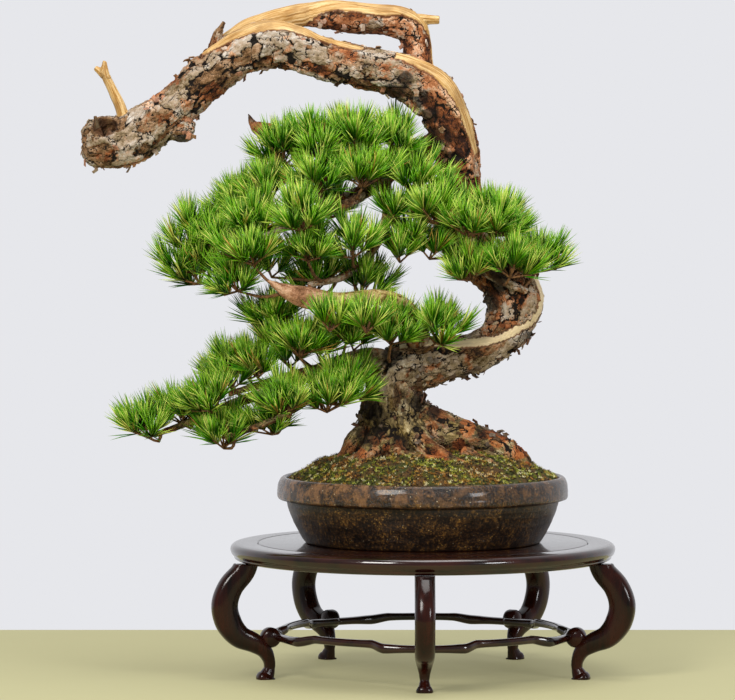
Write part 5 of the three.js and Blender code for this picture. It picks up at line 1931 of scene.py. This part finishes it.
@dataclass
class Studio:
    """The camera, the lights, the floor and the pale surround."""

    distance: float = 6.3
    eye_height: float = 0.71
    aim: Pair = (-0.072, 0.4225)
    lens: float = 237.4
    floor_behind: float = 0.55
    floor_reach: float = 1.6
    light_aim: Triple = (-0.05, 0, 0.4)
    # Each light's name, place from the axis, size, power and colour.
    lights: tuple[tuple[str, Triple, float, float, Triple], ...] = (
        ("key", (-1.5, -2.7, 2.2), 1.1, 84, (1.0, 0.97, 0.92)),
        ("fill", (2.3, -2.5, 1.15), 0.75, 38, (0.97, 0.98, 1.0)),
        ("top", (0.2, -0.4, 2.6), 1.4, 34, (1.0, 1.0, 0.98)),
    )
    backdrop: Triple = (0.955, 0.962, 1.0)
    seen_strength: float = 0.83
    light_strengths: Pair = (0.3, 0.72)
    light_change: Pair = (-0.1, 0.5)

    def aimed(self, name: str, data: Any, place: Vector, target: Vector) -> Piece:
        """A camera or a light that faces a target.

        Args:
            name: Its name.
            data: The camera's or the light's data.
            place: Where it stands.
            target: What it faces.

        Returns:
            The camera or light.
        """
        thing = bpy.data.objects.new(name, data)
        bpy.context.scene.collection.objects.link(thing)
        thing.location = place
        thing.rotation_euler = (target - place).to_track_quat("-Z", "Y").to_euler()
        return thing

    def camera(self) -> None:
        """The camera at the photograph's viewing angle."""
        data = bpy.data.cameras.new("camera")
        data.lens = self.lens
        data.sensor_width = 36.0
        data.clip_end = 40.0
        target = Vector((AXIS[0] + self.aim[0], AXIS[1], self.aim[1]))
        place = Vector((target.x, AXIS[1] - self.distance, self.eye_height))
        bpy.context.scene.camera = self.aimed("camera", data, place, target)

    def light(self, name: str, place: Triple, size: float, power: float, tone: Triple) -> None:
        """A square soft light that faces the tree."""
        data = bpy.data.lights.new(name, "AREA")
        data.size = size
        data.energy = power
        data.color = tone
        self.aimed(name, data, Vector(AXIS) + Vector(place), Vector(AXIS) + Vector(self.light_aim))

    def sheet(self, name: str, corners: Stations, finish: PlainFinish) -> None:
        """A flat sheet that is part of the studio."""
        mesh = bpy.data.meshes.new(name)
        mesh.from_pydata([tuple(corner) for corner in corners], [], [(0, 1, 2, 3)])
        piece_from(name, mesh, finish.material(), smooth=False)

    def build(self) -> None:
        """Sets up the studio."""
        self.camera()
        reach, back = self.floor_reach, AXIS[1] + self.floor_behind
        self.sheet("floor", [(-reach, -reach, 0), (reach, -reach, 0), (reach, back, 0), (-reach, back, 0)],
                   PlainFinish("floor_paint", 0x9C9872, roughness=0.85, glow=0.55))
        for light in self.lights:
            self.light(*light)
        self.surround()
        bpy.context.scene.view_settings.view_transform = "Standard"

    def surround(self) -> None:
        """A pale even backdrop, whose light on the object comes mostly from behind it."""
        world = bpy.data.worlds.new("studio")
        world.use_nodes = True
        world.node_tree.nodes.clear()
        g = Graph(world.node_tree)
        direction = g.add("ShaderNodeTexCoord", output="Generated")
        behind = g.axis(direction, "Y")
        (start, end), (low, high) = self.light_change, self.light_strengths
        inputs = {"Value": behind, "From Min": start, "From Max": end, "To Min": low, "To Max": high}
        light = g.add("ShaderNodeMapRange", None, inputs, "Result")
        seen = g.add("ShaderNodeLightPath", output="Is Camera Ray")
        inputs = {"Color": self.backdrop, "Strength": light * (1 - seen) + seen * self.seen_strength}
        background = g.add("ShaderNodeBackground", None, inputs)
        g.add_output(background, "ShaderNodeOutputWorld")
        bpy.context.scene.world = world


def plain_nodes() -> None:
    """Gives the nodes that stay as they are their finish."""
    mesh_finish = PlainFinish("drain_screen", 0x202422, 0.7, 0.2).material()
    for name in ("drain_screen_left", "drain_screen_right"):
        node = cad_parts[name]
        node.data.materials.clear()
        node.data.materials.append(mesh_finish)


def report(pieces: Sequence[Piece]) -> None:
    """Logs each piece with its triangle count."""
    for piece in pieces:
        piece.data.calc_loop_triangles()
        LOG.info("%s: %d triangles", piece.name, len(piece.data.loop_triangles))


def main() -> None:
    """Builds everything in order."""
    logging.basicConfig(level=logging.INFO, format="%(relativeCreated)6.0f ms %(message)s")
    Studio().build()
    report(Wood().build())
    report(Foliage().build())
    report(Pot().build())
    report(Stand().build())
    plain_nodes()


if __name__ == "__main__":
    main()
